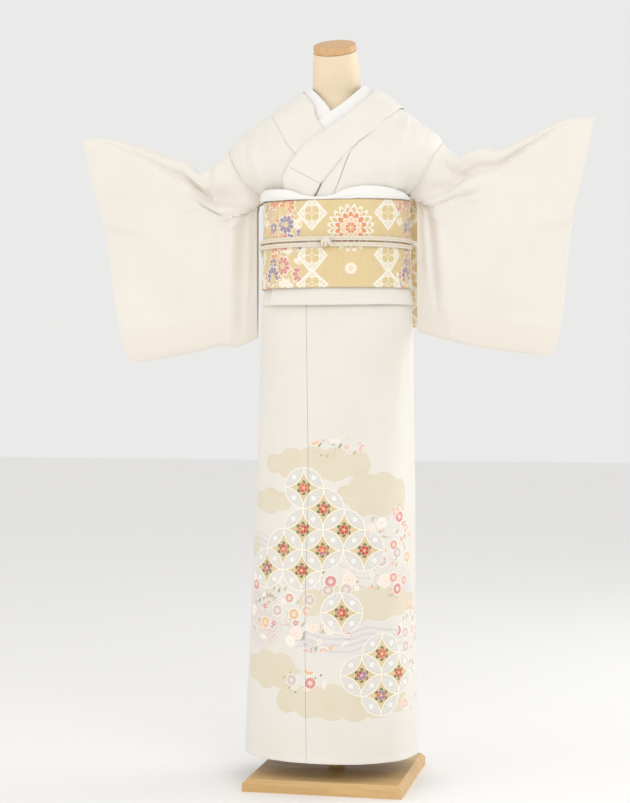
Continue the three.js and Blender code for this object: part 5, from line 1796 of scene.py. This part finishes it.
@dataclass
class ObiSet:
    """The obi band, its drum bow, the white sash and the braided cord."""

    bottom: float = 976.0
    top: float = 1145.0
    power: float = 2.3
    # Share of the height, half the width, front and back of the band.
    rows: Rows = (
        (0, 149.7, 121.5, 110), (0.12, 147.8, 121.6, 109.5), (0.5, 145.8, 122, 109),
        (0.9, 145, 122.5, 109.5), (1, 145, 122.5, 110),
    )
    # Depth and height along the drum, from its top inner edge over the bow and up again inside.
    drum_path: Rows = (
        (113, 1168), (118, 1188), (134, 1204), (156, 1207), (178, 1196), (191, 1168), (196, 1120),
        (196, 1060), (192, 1010), (181, 986), (161, 978), (142, 985), (131, 1008), (128.6, 1050),
    )
    drum_half: float = 150.0
    hand_half: float = 172.0
    hand_depth: float = 120.0
    # Angle, rise over the obi's edge, half the depth, and how far the cloth behind stands out.
    sash_rows: Rows = (
        (-112, 6, 3, 12), (-92, 6, 3.2, 12), (-76, 9, 4, 14), (-60, 20, 5, 20), (-44, 23, 5, 22.5),
        (-28, 20, 5, 22), (-16, 9, 4, 21.5), (-4, 6, 3.6, 18.5), (6, 9, 4, 17), (16, 20, 5, 17),
        (30, 26, 5, 18), (46, 23, 5, 20), (62, 16, 4.6, 20), (76, 9, 4, 14), (92, 6, 3.2, 12),
        (112, 6, 3, 12),
    )
    cord_half_height: float = 4.3
    cord_half_depth: float = 3.1
    cord_gap: float = 0.8
    cord_z: float = 1070.0
    tail_z: float = 1058.4

    def top_at(self, degrees: Any) -> Any:
        """The height of the band's top edge."""
        return self.top + 7 * (1 - np.cos(np.radians(degrees)))

    def bottom_at(self, degrees: Any) -> Any:
        """The height of the band's bottom edge."""
        return self.bottom + 1.5 * (1 - np.cos(np.radians(degrees)))

    def point(self, share: Any, degrees: Any, clear: float) -> Array:
        """A point on the band.

        Args:
            share: The share of the band's height.
            degrees: The angle round the body.
            clear: How far it is moved out.

        Returns:
            The points, with their three parts on the last axis.
        """
        share, degrees = np.broadcast_arrays(np.asarray(share, float), np.asarray(degrees, float))
        half, front, back = np.moveaxis(curve_rows(np.array(self.rows), share), -1, 0)
        x, y = outline(half + clear, front + clear, back + clear, self.power, degrees)
        return np.stack([x, y, blend(self.bottom_at(degrees), self.top_at(degrees), share)], -1)

    def build_band(self, brocade: Material) -> None:
        """Make the wound band, with its folded edges rounded. Its ends meet under the drum."""
        degrees = np.linspace(-179.85, 179.85, 181)
        near_edge = np.array([0, 0.006, 0.014, 0.03, 0.06])
        share = np.concatenate([near_edge, np.linspace(0.1, 0.9, 22), 1 - near_edge[::-1]])
        tall = self.top - self.bottom
        grid = self.point(share[:, None], degrees[None, :], 0.0)
        edge = np.minimum(share, 1 - share)[:, None] * tall
        thick = 0.9 + 1.7 * rounded(edge / 3) * np.ones_like(degrees)[None, :]
        creases = crease_table(
            (-120, 60, 40, 66, 10, -0.5), (20, 120, 180, 128, 12, 0.5), (-150, 130, -60, 118, 9, 0.5),
            (120, 40, 200, 30, 9, -0.4),
        )
        arc = arc_lengths(grid, 1)
        arc = arc - arc[:, 90:91]
        level = np.broadcast_to(share[:, None] * tall, arc.shape)
        drape = creased(creases, arc, level)
        made = Shell("obi_band_cloth", grid, thick, np.stack([arc, level], -1), drape=drape).build(brocade)
        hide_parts("obi_band")

    def build_drum(self, brocade: Material) -> None:
        """Make the drum bow, the hand that crosses it and the flap below it."""
        across = np.linspace(-1, 1, 61)
        path = share_rows(self.drum_path, np.linspace(0, 1, 105))
        x = np.broadcast_to(across[None, :] * self.drum_half, (len(path), len(across)))
        sag = 1.1 * np.sin(np.linspace(0, math.pi, len(path)))[:, None] * np.cos(across[None, :] * 2.4)
        y = path[:, :1] - 4 * across[None, :] ** 2 + sag
        grid = np.stack([x, y, np.broadcast_to(path[:, 1:], x.shape)], -1)
        down = arc_lengths(grid, 0)[:, 30:31]
        uv = np.stack([np.broadcast_to(down - 170, x.shape), 116 - np.abs(x)], -1)
        made = Shell("obi_drum_cloth", grid, 2.6, uv, centre=(0, 160, 1090)).build(brocade)
        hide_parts("obi_drum")
        # Half the width, the lowest and highest level, the depth, the thickness and the flat size.
        strips = [("obi_hand", self.hand_half, 996.0, 1140.0, self.hand_depth, 3.4, (0.144, 0.344)),
                  ("obi_flap", 149.0, 905.0, 990.0, 116.4, 2.6, (0.085, 0.298))]
        for name, half, low, high, depth, thickness, flat in strips:
            z = np.linspace(low, high, 29)
            x = np.broadcast_to(across[None, :] * half, (len(z), len(across)))
            level = np.broadcast_to(z[:, None], x.shape)
            grid = np.stack([x, np.full(x.shape, depth), level], -1)
            uv = np.stack([x, level - low], -1)
            edge = np.minimum(half - np.abs(x), np.minimum(level - low, high - level))
            thick = 0.8 + (thickness - 0.8) * rounded(edge / 3)
            made = Shell(name + "_cloth", grid, thick, uv).build(brocade)
            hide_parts(name)

    def build_sash(self, crepe: Material) -> None:
        """Make the sash as a soft roll with gathers along it."""
        angle, rise, depth, cover = np.moveaxis(share_rows(self.sash_rows, np.linspace(0, 1, 241)), -1, 0)
        low = self.top_at(angle) + 0.7
        back = body_point(low + rise, angle, cover + 1.4)
        out = body_point(low + rise, angle, cover + 2.8) - back
        out[:, 2] = 0
        out = unit(out)
        turn = np.radians(np.arange(0, 360, 9.0))[None, :]
        along = arc_lengths(back, 0)[:, None]
        lobes = ease(8, 20, rise)[:, None]
        gather = 0.10 * np.sin(4 * turn + along / 26) + 0.07 * np.sin(7 * turn - along / 17 + 1.3)
        round_off = 1 - (0.10 + gather * (0.4 + 0.6 * lobes)) * np.clip(np.sin(turn) + 0.6, 0, 1)
        reach = depth[:, None] * (1 + np.sin(turn) * round_off)
        height = low[:, None] + (rise[:, None] / 2) * (1 - np.cos(turn) * (1 - 0.5 * np.abs(gather)))
        grid = back[:, None, :] + out[:, None, :] * reach[..., None]
        grid[..., 2] = height
        made = solid("obiage_cloth", grid, crepe)
        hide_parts("obiage")

    def cord(self, points: Array, closed: bool, step: float = 2.4) -> Array:
        """The rings of a flat cord along a smooth line.

        Args:
            points: The points that the line runs through.
            closed: Whether it closes on itself.
            step: How far apart the rings are.

        Returns:
            Rings by points.
        """
        points = np.asarray(points, float)
        if closed:
            points = np.concatenate([points[-2:], points, points[:3]])
        lengths = arc_lengths(points, 0)
        table = np.column_stack([lengths, points])
        start, end = (lengths[2], lengths[-3]) if closed else (lengths[0], lengths[-1])
        count = int((end - start) / step)
        at = np.linspace(start, end, count, endpoint=not closed)
        centre = curve_rows(table, at)
        way = curve_rows(table, at + 0.5) - curve_rows(table, at - 0.5)
        way = unit(way)
        out = np.cross(way, (0, 0, 1.0))
        out = unit(out)
        up = np.cross(out, way)
        turn = np.radians(np.arange(0, 360, 22.5))[None, :]
        c, s = np.cos(turn), np.sin(turn)
        c, s = (np.sign(a) * np.abs(a) ** 0.85 for a in (c, s))
        upwards = up[:, None] * (self.cord_half_height * c)[..., None]
        return centre[:, None] + upwards + out[:, None] * (self.cord_half_depth * s)[..., None]

    def build_cord(self, braid: Material) -> None:
        """Make the cord round the obi, its two tails and its flat knot."""
        clear = 1.5 + self.cord_gap + self.cord_half_depth

        def share(z: float) -> float:
            """The share of the band's height at z."""
            return (z - self.bottom) / (self.top - self.bottom)

        def round_body(z: float, start: float, end: float, count: int) -> Array:
            """A level line round the band from one angle to another."""
            line = self.point(share(z), np.linspace(start, end, count), clear)
            line[:, 2] = z
            return line

        behind = self.hand_depth + 2 + self.cord_gap + self.cord_half_depth
        corner = self.hand_half + self.cord_gap + self.cord_half_depth + 3
        turns = [
            (corner - 11, 90), (corner - 2, 106), (corner, 117), (corner - 2, behind - 1),
            (corner - 9, behind + 1), (140, behind), (0, behind),
        ]
        side = np.array([(x, y, self.cord_z) for x, y in turns])
        other = side[-2::-1] * (-1, 1, 1)
        loop = np.concatenate([round_body(self.cord_z, -96, 96, 25), side, other])
        pieces = [("obijime_loop", loop, True)]
        for name, start, end, drop in (("left", 4.5, 88, 0), ("right", 1.5, -84, 16)):
            line = round_body(self.tail_z, start, end, 15)
            if drop:
                tip = line[-1]
                line = np.concatenate([line, [tip + (0, 4, -drop / 2), tip + (0, 5, -drop)]])
            pieces.append((f"obijime_tail_{name}", line, False))
        for name, line, closed in pieces:
            made = solid(name + "_braid", self.cord(line, closed), braid, closed)
            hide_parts(name)
        self.build_knot(braid, clear)

    def build_knot(self, braid: Material, clear: float) -> None:
        """Make the knot: three turns of the cord over the two strands.

        Args:
            braid: Its finish.
            clear: How far out the cord's middle lies from the band's.
        """
        front = float(self.point(0.55, 0.0, clear)[1]) - self.cord_half_depth - self.cord_gap
        middle_z = (self.cord_z + self.tail_z) / 2
        turns = [(0.0, 0.0, 0.0, 10.2), (-5.5, 0.25, 0.4, 8.6), (5.5, -0.25, 0.4, 8.6)]
        for number, (offset, lean, inset, tall) in enumerate(turns):
            angles = np.radians(np.arange(0, 360, 15.0))
            wide = 3.2 if number else 3.8
            line = np.stack([
                6 + offset + lean * tall * np.cos(angles) + 1.2 * np.sin(angles),
                front - 6.4 + inset + (5.2 - wide / 2) * np.sin(angles),
                middle_z + (tall - wide / 2) * np.cos(angles),
            ], -1)
            made = solid(f"obijime_knot_turn_{number + 1}", self.turn(line, wide, 2.0), braid, True)
            if number == 0:
                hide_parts("obijime_knot")

    @staticmethod
    def turn(line: Array, wide: float, thick: float) -> Array:
        """The rings of a flat cord wound in a closed turn, with its flat side outwards.

        Args:
            line: The turn's points.
            wide: Half the cord's width.
            thick: Half its thickness.

        Returns:
            Rings by points.
        """
        way = np.roll(line, -1, axis=0) - np.roll(line, 1, axis=0)
        way = unit(way)
        out = line - line.mean(axis=0)
        out -= way * np.sum(out * way, axis=-1, keepdims=True)
        out = unit(out)
        side = np.cross(way, out)
        angles = np.radians(np.arange(0, 360, 30.0))[None, :]
        flat = side[:, None] * (wide * np.cos(angles))[..., None]
        return line[:, None] + flat + out[:, None] * (thick * np.sin(angles))[..., None]


# ---- camera, floor and light


@dataclass(frozen=True)
class Lamp:
    """A soft square light: its name, place and size in metres, its power in watts and its colour."""

    name: str
    place: tuple[float, float, float]
    size: float
    power: float
    colour: Colour


@dataclass
class Studio:
    """The camera, the floor and the lights."""

    azimuth: float = 11.25
    distance: float = 3400.0
    height: float = 788.0
    yaw: float = 11.99
    pitch: float = -0.57
    focal: float = 76.1
    sensor: float = 36.0
    aim: tuple[float, float, float] = (0, 0, 0.85)
    lamps: tuple[Lamp, ...] = (
        Lamp("Key", (1.6, -2.6, 2.5), 2.4, 30, (1.0, 0.985, 0.96)),
        Lamp("Window", (2.6, 1.4, 1.7), 2.0, 30, (0.97, 0.985, 1.0)),
        Lamp("Fill", (-2.8, -2.0, 1.5), 2.6, 22, (1.0, 0.965, 0.93)),
    )
    floor_reach: float = 14.0
    floor_colour: Colour = (0.92, 0.915, 0.90)
    floor_shade: Colour = (0.80, 0.79, 0.77)
    sky_colour: Colour = (0.94, 0.935, 0.93)
    sky_strength: float = 0.88

    def camera(self) -> None:
        """Make the camera at the viewing angle."""
        a = math.radians(self.azimuth)
        yaw, pitch = math.radians(self.yaw), math.radians(self.pitch)
        place = Vector((self.distance * math.sin(a), -self.distance * math.cos(a), self.height)) * MM
        ahead = Vector((-math.sin(yaw) * math.cos(pitch), math.cos(yaw) * math.cos(pitch), math.sin(pitch)))
        right = Vector((math.cos(yaw), math.sin(yaw), 0))
        up = right.cross(ahead)
        data = bpy.data.cameras.new("Camera")
        data.lens = self.focal
        data.sensor_width = self.sensor
        data.clip_end = 60.0
        made = bpy.data.objects.new("Camera", data)
        bpy.context.collection.objects.link(made)
        turn = Matrix((right, up, -ahead)).transposed()
        made.matrix_world = Matrix.Translation(place) @ turn.to_4x4()
        bpy.context.scene.camera = made

    def light(self, lamp: Lamp) -> None:
        """Make a light that looks at the middle of the kimono."""
        data = bpy.data.lights.new(lamp.name, "AREA")
        data.size = lamp.size
        data.energy = lamp.power
        data.color = lamp.colour
        made = bpy.data.objects.new(lamp.name, data)
        bpy.context.collection.objects.link(made)
        made.location = lamp.place
        made.rotation_euler = (Vector(self.aim) - Vector(lamp.place)).to_track_quat("-Z", "Y").to_euler()

    def floor(self) -> None:
        """Make the pale floor."""
        nodes = Nodes("Floor")
        speck = nodes.noise(nodes.place(), 30.0, 3.0)
        nodes.set("Base Color", nodes.mix(speck * 0.2, self.floor_colour, self.floor_shade))
        nodes.set("Roughness", 0.5)
        mesh = bpy.data.meshes.new("Floor")
        far = self.floor_reach
        mesh.from_pydata([(-far, -far, 0), (far, -far, 0), (far, far, 0), (-far, far, 0)], [], [(0, 1, 2, 3)])
        mesh.materials.append(nodes.material)
        made = bpy.data.objects.new("Floor", mesh)
        bpy.context.collection.objects.link(made)

    def build(self) -> None:
        """Make the floor, the lights and the pale surroundings."""
        self.floor()
        for lamp in self.lamps:
            self.light(lamp)
        world = bpy.data.worlds.new("Surroundings")
        world.use_nodes = True
        sky = world.node_tree.nodes["Background"]
        sky.inputs["Color"].default_value = (*self.sky_colour, 1)
        sky.inputs["Strength"].default_value = self.sky_strength
        bpy.context.scene.world = world
        bpy.context.scene.view_settings.view_transform = "Standard"


# ---- the whole


def main() -> None:
    """Build every piece in order."""
    logging.basicConfig(level=logging.INFO, format="%(name)s: %(message)s")
    studio = Studio()
    studio.camera()
    studio.build()
    silk = Crepe("Ivory crepe", IVORY, IVORY_SHADE).nodes().material
    sleeve_silk = SleeveCrepe().nodes().material
    white_crepe = Crepe("White silk", WHITE, WHITE_SHADE, grain=2200, relief=0.00006, roughness=0.5)
    white = white_crepe.nodes().material
    patterned = SkirtPattern().nodes().material
    gold = ObiBrocade().nodes().material
    braid = Braid().nodes().material
    DressForm().build()
    Skirt().build(patterned, white)
    Bodice().build(silk, white)
    Collars().build(silk, white)
    for sleeve in sleeves():
        sleeve.build(sleeve_silk, white)
    obi = ObiSet()
    obi.build_band(gold)
    obi.build_drum(gold)
    obi.build_sash(white)
    obi.build_cord(braid)


if __name__ == "__main__":
    main()
